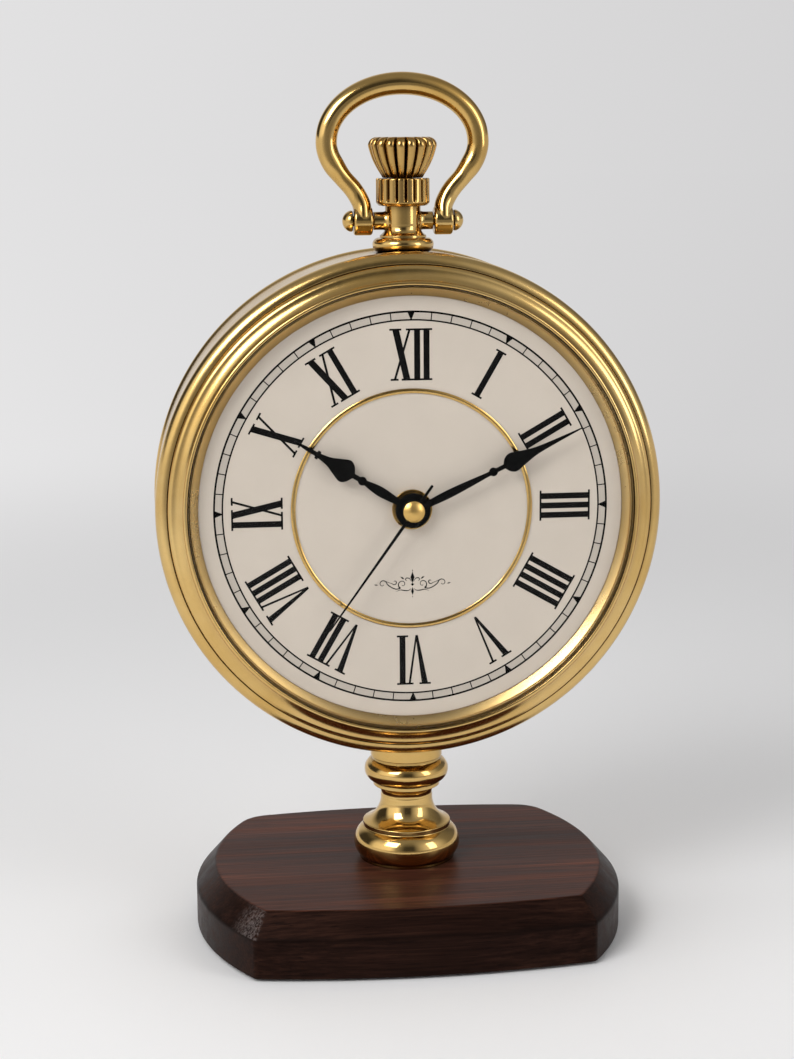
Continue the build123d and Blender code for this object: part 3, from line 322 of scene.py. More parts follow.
def ramp(tree, socket, stops):
    node = addNode(tree, "ShaderNodeValToRGB", {"Fac": socket})
    elements = node.color_ramp.elements
    while len(elements) < len(stops):
        elements.new(0.5)
    for element, (place, colour) in zip(elements, stops):
        element.position = place
        element.color = (*colour, 1) if isinstance(colour, tuple) else (colour, colour, colour, 1)
    return node.outputs["Color"]


def spread(tree, socket, low, high, toLow=0.0, toHigh=1.0):
    return addNode(tree, "ShaderNodeMapRange", {"Value": socket, "From Min": low, "From Max": high,
                                                "To Min": toLow, "To Max": toHigh}).outputs["Result"]


def blendColour(tree, share, a, b, mode="MIX"):
    node = addNode(tree, "ShaderNodeMix", data_type="RGBA", blend_type=mode)
    sockets = [socket for socket in node.inputs if socket.enabled]
    for socket, value in zip(sockets, (share, a, b)):
        feed(tree, socket, (*value, 1) if isinstance(value, tuple) else value)
    return [socket for socket in node.outputs if socket.enabled][0]


def bump(tree, shader, height, strength, depth, onto=None):
    node = addNode(tree, "ShaderNodeBump", {"Strength": strength, "Distance": depth * mm, "Height": height,
                                            "Normal": onto})
    tree.links.new(node.outputs["Normal"], shader.inputs["Normal"])
    return node.outputs["Normal"]


def mixSurface(tree, share, first, second):
    mix = addNode(tree, "ShaderNodeMixShader", {0: share, 1: first, 2: second})
    tree.links.new(mix.outputs[0], tree.nodes["Material Output"].inputs["Surface"])


# Finishes

brassLook = {   # a noise has scale, detail, stretch, roughness and shift; a bump has strength and depth
    "smear": (34, 5, (1, 1, 1), 0.62), "smearFrom": (0.36, 0.68), "grain": (420, 3), "grainShare": 0.35,
    "grainBump": (0.035, 0.06), "roughFrom": (0.50, 0.95), "shelter": 2.8, "shelterFrom": 0.36,
    # the recess colour is old polish and painted shade; the shade colour is painted shade on the reveal
    "dirt": (0.100, 0.050, 0.012), "shade": (0.085, 0.062, 0.040)}
brasses = {   # colour, deeper colour, roughness from and to, grime and painted recess shade, shelter free of both
    "polishedBrass": ((0.715, 0.480, 0.178), (0.615, 0.380, 0.112), (0.09, 0.19)),
    # painted shade: the crown and collar brass is a darker copy of the polished brass
    "shadedCrownBrass": ((0.610, 0.395, 0.140), (0.500, 0.300, 0.085), (0.10, 0.20), 1.0, 0.99),
    "caseBrass": ((0.745, 0.515, 0.208), (0.650, 0.415, 0.135), (0.15, 0.27)),
    "brightBrass": ((0.66, 0.465, 0.200), (0.60, 0.400, 0.150), (0.26, 0.33), 0),
    "satinBrass": ((0.76, 0.50, 0.165), (0.66, 0.41, 0.12), (0.24, 0.38)),
}
woodLook = {
    "bands": (42, 4, (0.12, 1, 1), 0.55, (0.31, 0.12, 0.05)),
    "streaks": (330, 4, (0.030, 1, 1), 0.60, (0.1, 0.4, 0.2)), "fibres": (1250, 4, (0.016, 1, 1), 0.62),
    "pores": (2300, 2, (0.035, 1, 1), 0.5, (0.7, 0.2, 0.4)), "crackle": (1300, 4, (1, 1, 0.6), 0.70),
    "weights": (0.30, 0.38, 0.42), "relief": (-0.7, 0.8), "grainBump": (0.28, 0.07),
    "tones": [(0.40, (0.0055, 0.0024, 0.0018)), (0.53, (0.0143, 0.0060, 0.0041)),
              (0.63, (0.0280, 0.0115, 0.0074)), (0.74, (0.0520, 0.0205, 0.0125))],
    "pitFrom": (0.60, 0.70), "pitShare": 0.75, "pit": (0.0045, 0.0022, 0.0018), "topSlope": (0.80, 0.99),
    # the top's lighter tone is a painted sheen; the edge colour is painted shade under the bevel
    "rubbed": (3.5, 2.9, 2.7), "edgeHeight": 12.6, "edgeWidth": (0.2, 1.1), "edgeShare": 0.6,
    "edge": (0.0036, 0.0020, 0.0016), "scuffAt": (-0.0495, -0.0452, 0.0150), "scuffReach": (3.0, 11.0),
    # the scuff is worn lacquer, partly a painted highlight
    "bevelX": (-0.45, -0.25), "bevelZ": (0.30, 0.50), "crackleFrom": (0.42, 0.66), "scuffShare": 0.6,
    "scuff": (0.240, 0.195, 0.185), "scuffBump": (0.60, 0.16), "streaksFrom": (0.3, 0.7),
    "rough": (0.30, 0.44)}
plainLook = {"cloudScale": 14, "cloudFrom": (0.35, 0.65), "bump": 0.25}
matt = {"Specular IOR Level": 0.06}
plains = {   # colour, roughness, metallic, grain scale, grain depth, other inputs, change of tone
    "creamDial": ((0.625, 0.552, 0.468), 0.50, 0.0, 900, 0.006, {}, 0.035),
    "trackTint": ((0.515, 0.460, 0.395), 0.50, 0.0, 900, 0.006, {}, 0.035),
    "blackInk": ((0.0045, 0.0043, 0.0041), 0.60, 0.0, 1500, 0.004, matt),
    "blackHand": ((0.0028, 0.0027, 0.0026), 0.42, 0.0, 1200, 0.004, matt),
    "softFelt": ((0.020, 0.020, 0.022), 0.95, 0.0, 1800, 0.25, {"Sheen Weight": 0.4}),
    "plainSteel": ((0.56, 0.56, 0.55), 0.32, 1.0, 700, 0.02),
    "blackPlastic": ((0.022, 0.022, 0.023), 0.50, 0.0, 1600, 0.035),
    "whitePlastic": ((0.74, 0.73, 0.68), 0.42, 0.0, 900, 0.01),
    "greyPlastic": ((0.20, 0.20, 0.205), 0.45, 0.0, 1300, 0.02),
    "blackRubber": ((0.025, 0.025, 0.025), 0.75, 0.0, 1400, 0.04),
    "cellJacket": ((0.070, 0.095, 0.130), 0.22, 0.0, 500, 0.01, {"Coat Weight": 0.4}),
    "copperWire": ((0.66, 0.27, 0.12), 0.30, 1.0, 1500, 0.03),
    "greenBoard": ((0.030, 0.125, 0.055), 0.38, 0.0, 900, 0.01),
    "chipResin": ((0.012, 0.012, 0.012), 0.18, 0.0, 600, 0.01),
}
slotFinishes = {   # the first of each dresses the plain nodes
    "brass": list(brasses), "dark_wood": ["darkWood"], "felt": ["softFelt"], "steel": ["plainSteel"],
    "clear_glass": ["clearGlass"], "dial_cream": ["creamDial", "trackTint"],
    "hand_black": ["blackHand", "blackInk"], "movement_plastic": ["blackPlastic"],
    "wheel_plastic": ["whitePlastic"], "knob_plastic": ["greyPlastic"], "rubber": ["blackRubber"],
    "battery_jacket": ["cellJacket"], "copper_wire": ["copperWire"], "board": ["greenBoard"],
    "chip_resin": ["chipResin"],
}


def newFinish(name, colour, roughness, metallic=0.0, more=None):
    finish = bpy.data.materials.new(name)
    finish.use_nodes = True
    shader = finish.node_tree.nodes["Principled BSDF"]
    values = {"Base Color": (*colour, 1), "Roughness": roughness, "Metallic": metallic, **(more or {})}
    for key, value in values.items():
        shader.inputs[key].default_value = value
    return finish, finish.node_tree, shader


def makeBrass(name, colour, deep, rough, grimeAndShade=1.0, fullyOpen=0.94):
    s = sizes(brassLook)
    finish, tree, shader = newFinish(name, colour, rough[0], 1.0)
    smear = objectNoise(tree, *s.smear)
    grain = objectNoise(tree, *s.grain)
    tone = blendColour(tree, spread(tree, smear, *s.smearFrom), colour, deep)
    if grimeAndShade:   # old polish stays in the recesses, and painted shade darkens them too
        shelter = addNode(tree, "ShaderNodeAmbientOcclusion", {"Distance": s.shelter * mm}, samples=8)
        dirt = spread(tree, shelter.outputs["AO"], s.shelterFrom, fullyOpen, grimeAndShade, 0.0)
        tone = blendColour(tree, dirt, tone, s.dirt)
        bump(tree, shader, grain, *s.grainBump)
    tree.links.new(tone, shader.inputs["Base Color"])
    both = addNode(tree, "ShaderNodeMath", {0: grain, 1: s.grainShare, 2: smear}, operation="MULTIPLY_ADD")
    tree.links.new(spread(tree, both.outputs[0], *s.roughFrom, *rough), shader.inputs["Roughness"])
    return finish


def darkenInward(finish, inner, outer, share):   # painted shade: a ring that darkens towards the dial
    tree = finish.node_tree
    tint = tree.nodes["Principled BSDF"].inputs["Base Color"]
    flat = addNode(tree, "ShaderNodeVectorMath", {0: objectPlace(tree), 1: (1, 0, 1)}, operation="MULTIPLY")
    axis = addNode(tree, "ShaderNodeVectorMath", {0: flat.outputs[0], 1: (0, 0, dialHeight * mm)},
                   operation="DISTANCE")
    dark = spread(tree, axis.outputs["Value"], inner * mm, outer * mm, share, 0.0)
    tree.links.new(blendColour(tree, dark, tint.links[0].from_socket, brassLook["shade"]), tint)


def makeWood():
    s = sizes(woodLook)
    finish, tree, shader = newFinish("darkWood", (0.02, 0.008, 0.006), 0.36, 0.0,
                                     {"Specular IOR Level": 0.06, "Specular Tint": (1.0, 0.70, 0.62, 1.0)})
    noises = (s.bands, s.streaks, s.fibres, s.pores, s.crackle)
    bands, streaks, fibres, pores, crackle = [objectNoise(tree, *noise) for noise in noises]
    tone = ramp(tree, weightedSum(tree, zip((bands, streaks, fibres), s.weights)), s.tones)
    pits = spread(tree, pores, *s.pitFrom, 0.0, s.pitShare)
    tone = blendColour(tree, pits, tone, s.pit)
    normal = addNode(tree, "ShaderNodeNewGeometry").outputs["Normal"]
    slope = addNode(tree, "ShaderNodeSeparateXYZ", {0: normal}).outputs
    rubbed = blendColour(tree, 1.0, tone, s.rubbed, "MULTIPLY")   # painted sheen: the top is paler
    tone = blendColour(tree, spread(tree, slope["Z"], *s.topSlope), tone, rubbed)
    place = objectPlace(tree)
    height = addNode(tree, "ShaderNodeSeparateXYZ", {0: place}).outputs["Z"]
    offEdge = math1(tree, "ABSOLUTE", math1(tree, "SUBTRACT", height, s.edgeHeight * mm))
    line = spread(tree, offEdge, s.edgeWidth[0] * mm, s.edgeWidth[1] * mm, s.edgeShare, 0.0)
    tone = blendColour(tree, line, tone, s.edge)   # painted shade: dark under the bevel
    offCorner = addNode(tree, "ShaderNodeVectorMath", {0: place, 1: s.scuffAt}, operation="DISTANCE")
    near = spread(tree, offCorner.outputs["Value"], s.scuffReach[0] * mm, s.scuffReach[1] * mm, 1.0, 0.0)
    leftBevel = math1(tree, "MULTIPLY", spread(tree, slope["X"], *s.bevelX, 1.0, 0.0),
                      spread(tree, slope["Z"], *s.bevelZ))
    wornAndGlint = math1(tree, "MULTIPLY", near, leftBevel)   # scuffed corner of the lacquer, also painted pale as a highlight
    patch = math1(tree, "MULTIPLY", wornAndGlint, spread(tree, crackle, *s.crackleFrom))
    tone = blendColour(tree, math1(tree, "MULTIPLY", patch, s.scuffShare), tone, s.scuff)
    tree.links.new(tone, shader.inputs["Base Color"])
    tree.links.new(spread(tree, streaks, *s.streaksFrom, *s.rough), shader.inputs["Roughness"])
    first = bump(tree, shader, weightedSum(tree, zip((pits, fibres), s.relief)), *s.grainBump)
    bump(tree, shader, patch, *s.scuffBump, first)
    return finish


def makePlain(name, colour, roughness, metallic, grain, depth, more=None, vary=0.12):
    finish, tree, shader = newFinish(name, colour, roughness, metallic, more)
    s = sizes(plainLook)
    noise = objectNoise(tree, grain, 3)
    cloud = spread(tree, objectNoise(tree, grain / s.cloudScale, 3), *s.cloudFrom)
    darker = tuple(c * (1 - vary) for c in colour)
    tree.links.new(blendColour(tree, cloud, colour, darker), shader.inputs["Base Color"])
    bump(tree, shader, noise, s.bump, depth)
    return finish


def makeGlass():
    finish, tree, shader = newFinish("clearGlass", (1.0, 1.0, 1.0), 0.0, 0.0,
                                     {"Transmission Weight": 1.0, "IOR": 1.12})
    path = addNode(tree, "ShaderNodeLightPath").outputs
    clear = math1(tree, "MAXIMUM", path["Is Shadow Ray"], path["Is Diffuse Ray"])
    mixSurface(tree, clear, shader.outputs[0], addNode(tree, "ShaderNodeBsdfTransparent").outputs[0])
    return finish


finishes = {name: makeBrass(name, *look) for name, look in brasses.items()}
# painted shade on the reveal ring, darker towards the dial
darkenInward(finishes["brightBrass"], inner=62.6, outer=64.5, share=0.55)
finishes.update({name: makePlain(name, *look) for name, look in plains.items()})
finishes.update({"darkWood": makeWood(), "clearGlass": makeGlass()})
for part in frame["record"]["subparts"]:
    cadMesh = cadNodes[part["node"]].data
    cadMesh.materials.clear()
    cadMesh.materials.append(finishes[slotFinishes[part["material_slot"]][0]])
print("finishes made:", len(bpy.data.materials))


# Node trees for what repeats

def newTree(name, sockets):
    tree = bpy.data.node_groups.new(name, "GeometryNodeTree")
    tree.interface.new_socket("Geometry", in_out="INPUT", socket_type="NodeSocketGeometry")
    for label, kind in {**sockets, "Finish": "Material"}.items():
        tree.interface.new_socket(label, in_out="INPUT", socket_type="NodeSocket" + kind)
    tree.interface.new_socket("Geometry", in_out="OUTPUT", socket_type="NodeSocketGeometry")
    start = tree.nodes.new("NodeGroupInput")
    end = tree.nodes.new("NodeGroupOutput")
    return tree, start.outputs, end.inputs


def endTree(tree, given, made, shape):
    real = addNode(tree, "GeometryNodeRealizeInstances", {"Geometry": shape.outputs[0]})
    paint = addNode(tree, "GeometryNodeSetMaterial", {"Geometry": real.outputs[0],
                                                      "Material": given["Finish"]})
    tree.links.new(paint.outputs[0], made["Geometry"])
    return tree


def runTree(tree, mesh, finishName, values):
    loose = looseObject("treeInput", mesh)
    change = loose.modifiers.new("tree", "NODES")
    change.node_group = tree
    values = {**values, "Finish": finishes[finishName]}
    for item in tree.interface.items_tree:
        if item.in_out == "INPUT" and item.name in values:
            change[item.identifier] = values[item.name]
    return plainMesh(loose)


def ringCopiesTree():   # copies of one shape round the dial axis
    tree, given, made = newTree("ringCopies", {"Count": "Int", "Start": "Float", "Height": "Float"})
    middle = addNode(tree, "ShaderNodeCombineXYZ", {"Z": given["Height"]})
    points = addNode(tree, "GeometryNodePoints", {"Count": given["Count"], "Position": middle.outputs[0]})
    index = addNode(tree, "GeometryNodeInputIndex").outputs[0]
    step = math1(tree, "DIVIDE", math.tau, given["Count"])
    angle = math1(tree, "ADD", math1(tree, "MULTIPLY", index, step), given["Start"])
    turn = addNode(tree, "ShaderNodeCombineXYZ", {"Y": angle})
    copies = addNode(tree, "GeometryNodeInstanceOnPoints",
                     {"Points": points.outputs[0], "Instance": given["Geometry"],
                      "Rotation": turn.outputs[0]})
    return endTree(tree, given, made, copies)


def flutesTree():   # grooves round an upright axis, as deep as each vertex's share
    tree, given, made = newTree("flutes", {"Count": "Int", "Depth": "Float", "Width": "Float",
                                           "Crowning": "Float"})

    def calc(operation, a, b=None):
        return math1(tree, operation, a, b)

    position = addNode(tree, "GeometryNodeInputPosition").outputs[0]
    place = addNode(tree, "ShaderNodeSeparateXYZ", {0: position}).outputs
    x, y = place["X"], place["Y"]
    turns = calc("DIVIDE", calc("MULTIPLY", calc("ARCTAN2", y, x), given["Count"]), math.tau)
    away = calc("ABSOLUTE", calc("SUBTRACT", calc("FRACT", turns), 0.5))
    edge = calc("MULTIPLY", given["Width"], 0.5)
    groove = addNode(tree, "ShaderNodeMapRange", interpolation_type="SMOOTHSTEP",
                     inputs={"Value": away, "From Max": edge, "To Min": 1.0, "To Max": 0.0})
    side = calc("SUBTRACT", 0.5, away)
    rib = calc("MULTIPLY", calc("MULTIPLY", calc("POWER", side, 2.0), 4.0), given["Crowning"])
    cut = calc("ADD", calc("MULTIPLY", groove.outputs["Result"], given["Depth"]), rib)
    share = addNode(tree, "GeometryNodeInputNamedAttribute", {"Name": "fluteShare"}, data_type="FLOAT")
    depth = calc("MULTIPLY", calc("MULTIPLY", cut, share.outputs[0]), -1.0)
    radius = calc("MAXIMUM", calc("SQRT", calc("ADD", calc("POWER", x, 2.0), calc("POWER", y, 2.0))), 1e-6)
    scaled = calc("DIVIDE", depth, radius)
    move = addNode(tree, "ShaderNodeCombineXYZ", {"X": calc("MULTIPLY", x, scaled),
                                                  "Y": calc("MULTIPLY", y, scaled)})
    shift = addNode(tree, "GeometryNodeSetPosition", {"Geometry": given["Geometry"],
                                                      "Offset": move.outputs[0]})
    return endTree(tree, given, made, shift)


def inkUnionTree():   # strokes that cross become one print
    tree, given, made = newTree("inkUnion", {})
    union = addNode(tree, "GeometryNodeMeshBoolean", {"Mesh 2": given["Geometry"], "Self Intersection": True},
                    operation="UNION", solver="EXACT")
    return endTree(tree, given, made, union)


ringCopies, flutes, inkUnion = ringCopiesTree(), flutesTree(), inkUnionTree()
print("node trees made")


def copiedRound(mesh, count, finishName, start=0.0):
    return runTree(ringCopies, mesh, finishName, {"Count": count, "Start": start, "Height": dialHeight * mm})


# Wooden base

baseSize = {"halfWidth": 65.5, "halfDepth": 53.0, "endBow": 15.4, "frontBow": 4.3, "frontCorner": 1.1,
            "backCorner": 5.2, "bottom": 0.8, "sideTop": 12.6, "top": 19.5, "bevelIn": 6.1, "coverIn": 30.5,
            "edgeEase": 0.55, "flat": 0.35}


def quarterLoop(frontR, frontC, endR, endC, corner, cut):   # from the middle of the front to the end's
    a1 = math.atan2(corner.x, frontC - corner.y) - cut / frontR
    a2 = math.atan2(-corner.y, corner.x - endC) - cut / endR
    front = [Vector((frontR * math.sin(a1 * t), frontC - frontR * math.cos(a1 * t))) for t in shares(22)]
    end = [Vector((endC + endR * math.cos(a2 * t), -endR * math.sin(a2 * t))) for t in reversed(shares(18))]
    turn = [bend(front[-1], corner, end[0], t) for t in shares(9)[1:-1]]
    return front + turn + end


def baseLoop(inset, z):
    s = sizes(baseSize)
    cornerX, cornerY = s.halfWidth - s.endBow, s.halfDepth - s.frontBow
    frontR, endR = ballRadius(cornerX, s.frontBow), ballRadius(cornerY, s.endBow)
    frontC, endC = frontR - s.halfDepth, s.halfWidth - endR   # centres on the axes
    r1, r2 = frontR - inset, endR - inset
    gap = math.hypot(endC, frontC)
    along = (r1 * r1 - r2 * r2 + gap * gap) / (2 * gap)
    off = math.sqrt(r1 * r1 - along * along)
    ux, uy = endC / gap, -frontC / gap
    corner = Vector((ux * along - uy * off, frontC + uy * along + ux * off))
    if corner.y > 0 or corner.x < 0:
        corner = Vector((ux * along + uy * off, frontC + uy * along - ux * off))
    near = quarterLoop(r1, frontC, r2, endC, corner, s.frontCorner)
    far = quarterLoop(r1, frontC, r2, endC, corner, s.backCorner)
    right = near + [Vector((p.x, -p.y)) for p in reversed(far[:-1])]
    whole = right + [Vector((-p.x, p.y)) for p in reversed(right[1:-1])]
    return [(p.x, p.y, z) for p in whole]


def makeBase():
    s = sizes(baseSize)
    path = [(s.coverIn, s.bottom), (0.0, s.bottom), (0.0, s.sideTop), (s.bevelIn, s.top), (s.coverIn, s.top)]
    path = holdFlats(easeCorners(path, s.edgeEase, closed=False), s.flat, closed=False)
    mesh = stackMesh("woodBase", [baseLoop(inset, z) for inset, z in path], 50)
    newPiece("woodBase", mesh, "darkWood", "wood_base")


makeBase()
print("wooden base made")


# Turned pillar

pillarSize = {"base": 19.5, "height": 38.0, "bore": 3.2, "foot": 14.7, "bulge": 16.35, "step": 13.5,
              "flare": 9.43, "waist": 8.0, "upper": 8.506, "fillet": 10.3, "torusFoot": 9.9, "torus": 12.95,
              "neck": 10.56, "collar": 11.0, "saddle": 0.4, "ease": 0.16, "flat": 0.12}
pillarLevels = {"footTop": 0.025, "bulge": 0.155, "bulgeTop": 0.265, "stepTop": 0.305, "flare": 0.385,
                "waist": 0.520, "waistTop": 0.612, "filletTop": 0.642, "torus": 0.740, "torusTop": 0.830,
                "neckTop": 0.855}


def makePillar():
    s = sizes(pillarSize)
    z = sizes({level: s.base + share * s.height for level, share in pillarLevels.items()})
    upper = (s.upper, z.waist + (z.waistTop - z.waist) / math.sqrt(2))
    top = s.base + s.height
    path = [(s.bore, s.base), (s.foot, s.base), (s.foot, z.footTop),
            ((s.bulge, z.bulge), (s.step, z.bulgeTop)), (s.step, z.stepTop),
            ((s.flare, z.flare), (s.waist, z.waist)), (upper, (s.fillet, z.waistTop)),
            (s.fillet, z.filletTop), (s.torusFoot, z.filletTop), ((s.torus, z.torus), (s.neck, z.torusTop)),
            (s.neck, z.neckTop), (s.collar, z.neckTop), (s.collar, top), (s.bore, top)]
    points = holdFlats(easeCorners(tracePath(path, 18), s.ease), s.flat)
    mesh = turnedMesh("turnedPillar", points, saddle(z.neckTop + s.saddle, top, True), 160)
    newPiece("turnedPillar", mesh, "polishedBrass", "pillar")


makePillar()
print("pillar made")


# Case, bezel, reveal, glass and back

caseSize = {"bore": 69.1, "rimBore": 71.7, "radius": 74.5, "shoulder": 9.5, "rim": 18.6, "band": 11.6,
            "rollFall": (74.64, 16.85), "roll": (75.1, 15.1), "rollFoot": (74.95, 13.35),
            "backRoll": (75.1, -13.8), "back": -16.0, "seat": 73.7, "ease": 0.18, "flat": 0.2}
bezelSize = {"bore": 65.6, "beadFoot": 22.2, "crest": (66.35, 22.9), "beadEnd": (67.1, 22.2),
             "cove": (68.55, 20.70), "ridge": (70.0, 20.1), "fall": (71.15, 19.45), "radius": 71.6,
             "groove": 18.1, "skirtBore": 69.7, "skirtBack": 9.6, "ease": 0.12, "flat": 0.12}
revealSize = {"opening": 62.6, "lip": 18.6, "cone": (64.75, 20.28), "flange": 64.9, "seat": 21.2,
              "radius": 65.5, "ease": 0.15, "flat": 0.15}
glassSize = {"radius": 65.5, "flange": 64.9, "seat": 21.2, "rim": 23.0, "dome": 5.4, "thickness": 1.8}
coverSize = {"window": 39.0, "radius": 73.7, "back": -17.6, "front": -16.0, "ease": 0.5, "flat": 0.3}


def makeCase():
    s = sizes(caseSize)
    path = [(s.bore, s.back), (s.bore, s.shoulder), (s.rimBore, s.shoulder), (s.rimBore, s.rim),
            (s.rollFall, s.roll), (s.rollFoot, (s.radius, s.band)), (s.radius, -s.band),
            (s.backRoll, (s.seat, s.back))]
    turnedPiece("caseDrum", path, "caseBrass", "case_body", s.ease, s.flat, 16, sharpest=14)
    s = sizes(bezelSize)
    path = [(s.bore, dialFront), (s.bore, s.beadFoot), (s.crest, s.beadEnd), (s.cove, s.ridge),
            (s.fall, (s.radius, s.groove)), (s.radius, s.skirtBack), (s.skirtBore, s.skirtBack),
            (s.skirtBore, dialFront)]
    turnedPiece("frontBezel", path, "caseBrass", "bezel", s.ease, s.flat, 14)
    s = sizes(revealSize)
    path = [(s.opening, dialFront), (s.opening, s.lip), s.cone, (s.flange, s.seat), (s.radius, s.seat),
            (s.radius, dialFront)]
    turnedPiece("revealCone", path, "brightBrass", "reveal_ring", s.ease, s.flat)


def domeRun(radius, ball, centre):   # from the pole to the rim
    return [(radius * t, centre + math.sqrt(ball ** 2 - (radius * t) ** 2)) for t in shares(24)]


def makeDialGlass():
    s = sizes(glassSize)
    ball = ballRadius(s.radius, s.dome)
    centre = s.rim + s.dome - ball
    outline = domeRun(s.radius, ball, centre) + [(s.radius, s.seat), (s.flange, s.seat)]
    outline += reversed(domeRun(s.flange, ball - s.thickness, centre))
    mesh = turnedMesh("domedGlass", outline, facing, 192, closed=False, angle=30)
    newPiece("domedGlass", mesh, "clearGlass", "dial_glass")


def makeCover():
    s = sizes(coverSize)
    path = [(s.window, s.front), (s.window, s.back), (s.radius, s.back), (s.radius, s.front)]
    turnedPiece("backCover", path, "satinBrass", "back_cover", s.ease, s.flat, around=256)


makeCase()
makeDialGlass()
makeCover()
print("case, bezel, reveal, glass and back made")


# Screws of the back cover

screwSize = {"circle": 71.4, "count": 4, "start": 45, "seat": -17.6, "head": 1.7, "edge": 0.4, "height": 1.0,
             "dome": ((0.9, 0.93), (1.4, 0.72)), "shank": 1.0, "length": 5.0, "slot": (6.0, 0.90, 0.42)}


def makeCoverScrews():
    s = sizes(screwSize)
    path = [(0, s.height), s.dome, (s.head, s.edge), (s.head, 0), (s.shank, 0), (s.shank, -s.length),
            (0, -s.length)]

    def place(r, h, angle):   # one screw at the top of the ring, its head to the back
        return Vector((r * math.cos(angle), -s.seat + h, s.circle + r * math.sin(angle))) * mm

    screw = turnedMesh("coverScrew", tracePath(path, 6), place, 40, closed=False)
    bm = bmesh.new()
    bmesh.ops.create_cube(bm, size=1.0)
    for v in bm.verts:
        v.co = (v.co * Vector(s.slot) + Vector((0, s.height - s.seat, s.circle))) * mm
    screw = cutOrJoin("coverScrew", screw, [meshFrom(bm, "slotCut", 30)], "DIFFERENCE")
    copies = copiedRound(screw, s.count, "satinBrass", math.radians(s.start))
    newPiece("coverScrews", shadeSmooth(copies, 32), "satinBrass", "cover_screws")


makeCoverScrews()
print("cover screws made")


# Dial print

printSize = {"lift": 0.03, "tintLift": 0.012, "sink": 0.2, "trackOuter": 58.0, "outerLine": 0.56,
             "trackInner": 55.6, "innerLine": 0.46, "tick": 0.31, "markBase": 2.20, "markHeight": 2.35,
             "markTip": 0.12, "numeralLow": 38.0, "numeralHigh": 53.1, "serif": 0.56}
letterShapes = {   # strokes with left, right on top and right, left below; serifs with middle, half, on top
    "I": ([(-0.88, 0.88, 0.88, -0.88)], [(0.0, 1.68, False), (0.0, 1.68, True)]),
    "V": ([(-3.22, -1.34, 0.56, -0.14), (2.08, 2.74, 0.56, 0.04)], [(-2.3, 1.7, True), (2.4, 1.2, True)]),
    "X": ([(-2.8356, -0.8644, 2.5356, 0.5644), (2.005, 2.695, -1.805, -2.495)],
          [(-1.85, 1.75, True), (1.55, 1.65, False), (2.35, 1.15, True), (-2.15, 1.15, False)]),
}
numerals = {
    1: [("I", 0)], 2: [("I", -1.45), ("I", 1.45)], 3: [("I", -2.85), ("I", 0), ("I", 2.85)],
    4: [("I", -4.2), ("I", -1.4), ("I", 1.4), ("I", 4.2)], 5: [("V", 0.2)], 6: [("V", -1.35), ("I", 3.1)],
    7: [("V", -2.9), ("I", 1.55), ("I", 4.3)], 8: [("V", -4.3), ("I", 0.15), ("I", 2.85), ("I", 5.55)],
    9: [("I", -3.3), ("X", 1.3)], 10: [("X", 0)], 11: [("X", -1.6), ("I", 3.0)],
    12: [("X", -2.75), ("I", 1.72), ("I", 4.46)],
}


def inkPrism(bm, outline, spin=0.0, centre=(0.0, 0.0)):
    c, d = math.cos(spin), math.sin(spin)
    area = sum(a[0] * b[1] - b[0] * a[1] for a, b in zip(outline, outline[1:] + outline[:1]))
    if area < 0:
        outline = outline[::-1]
    rows = []
    for front in (dialFront - printSize["sink"], dialFront + printSize["lift"]):
        row = []
        for u, v in outline:
            x, z = u * c + v * d + centre[0], v * c - u * d + centre[1]
            row.append(bm.verts.new(Vector((x, -front, dialHeight + z)) * mm))
        rows.append(row)
    bm.faces.new(rows[0][::-1])
    bm.faces.new(rows[1])
    joinRows(bm, *rows)


def numeralStrokes(letters):
    s = sizes(printSize)
    low, high = s.numeralLow, s.numeralHigh
    strokes, serifs = [], []
    for letter, u in letters:
        bars, ends = letterShapes[letter]
        strokes += [[(u + a, high), (u + b, high), (u + c, low), (u + d, low)] for a, b, c, d in bars]
        serifs += [(u + middle - half, u + middle + half, onTop) for middle, half, onTop in ends]
    for left, right, onTop in serifs:
        outer, inner = (high, high - s.serif) if onTop else (low, low + s.serif)
        strokes.append([(left, outer), (right, outer), (right, inner), (left, inner)])
    return strokes


def makeNumerals():
    bm = bmesh.new()
    for hour, letters in numerals.items():
        for stroke in numeralStrokes(letters):
            inkPrism(bm, stroke, math.tau * hour / 12)
    strokes = meshFrom(bm, "numerals", 20, turnOut=False)
    newPiece("numerals", shadeSmooth(runTree(inkUnion, strokes, "blackInk", {}), 20), "blackInk")


def flatRing(name, low, high, front):
    back = dialFront - printSize["sink"]
    return turnedMesh(name, [(low, back), (high, back), (high, front), (low, front)], facing, 360, angle=30)


def roundMarks(name, outline, count):   # one mark at the top, copied round
    bm = bmesh.new()
    inkPrism(bm, outline, 0, (0, -dialHeight))
    newPiece(name, copiedRound(meshFrom(bm, name, 20, False), count, "blackInk"), "blackInk")


def makeTrack():
    s = sizes(printSize)
    low, high = s.trackInner, s.trackOuter
    lines = [flatRing("trackRing", radius - line / 2, radius + line / 2, dialFront + s.lift)
             for radius, line in ((high, s.outerLine), (low, s.innerLine))]
    newPiece("trackRings", joinedMesh("trackRings", lines), "blackInk")
    newPiece("trackTint", flatRing("trackTint", low, high, dialFront + s.tintLift), "trackTint")
    half = s.tick / 2
    roundMarks("minuteTicks", [(-half, low), (half, low), (half, high), (-half, high)], 60)
    half, tip = s.markBase / 2, high - s.markHeight
    roundMarks("hourMarks", [(-half, high), (half, high), (s.markTip, tip), (-s.markTip, tip)], 12)


makeNumerals()
makeTrack()
print("numerals and minute track made")


# Scrolled ornament under the middle of the dial

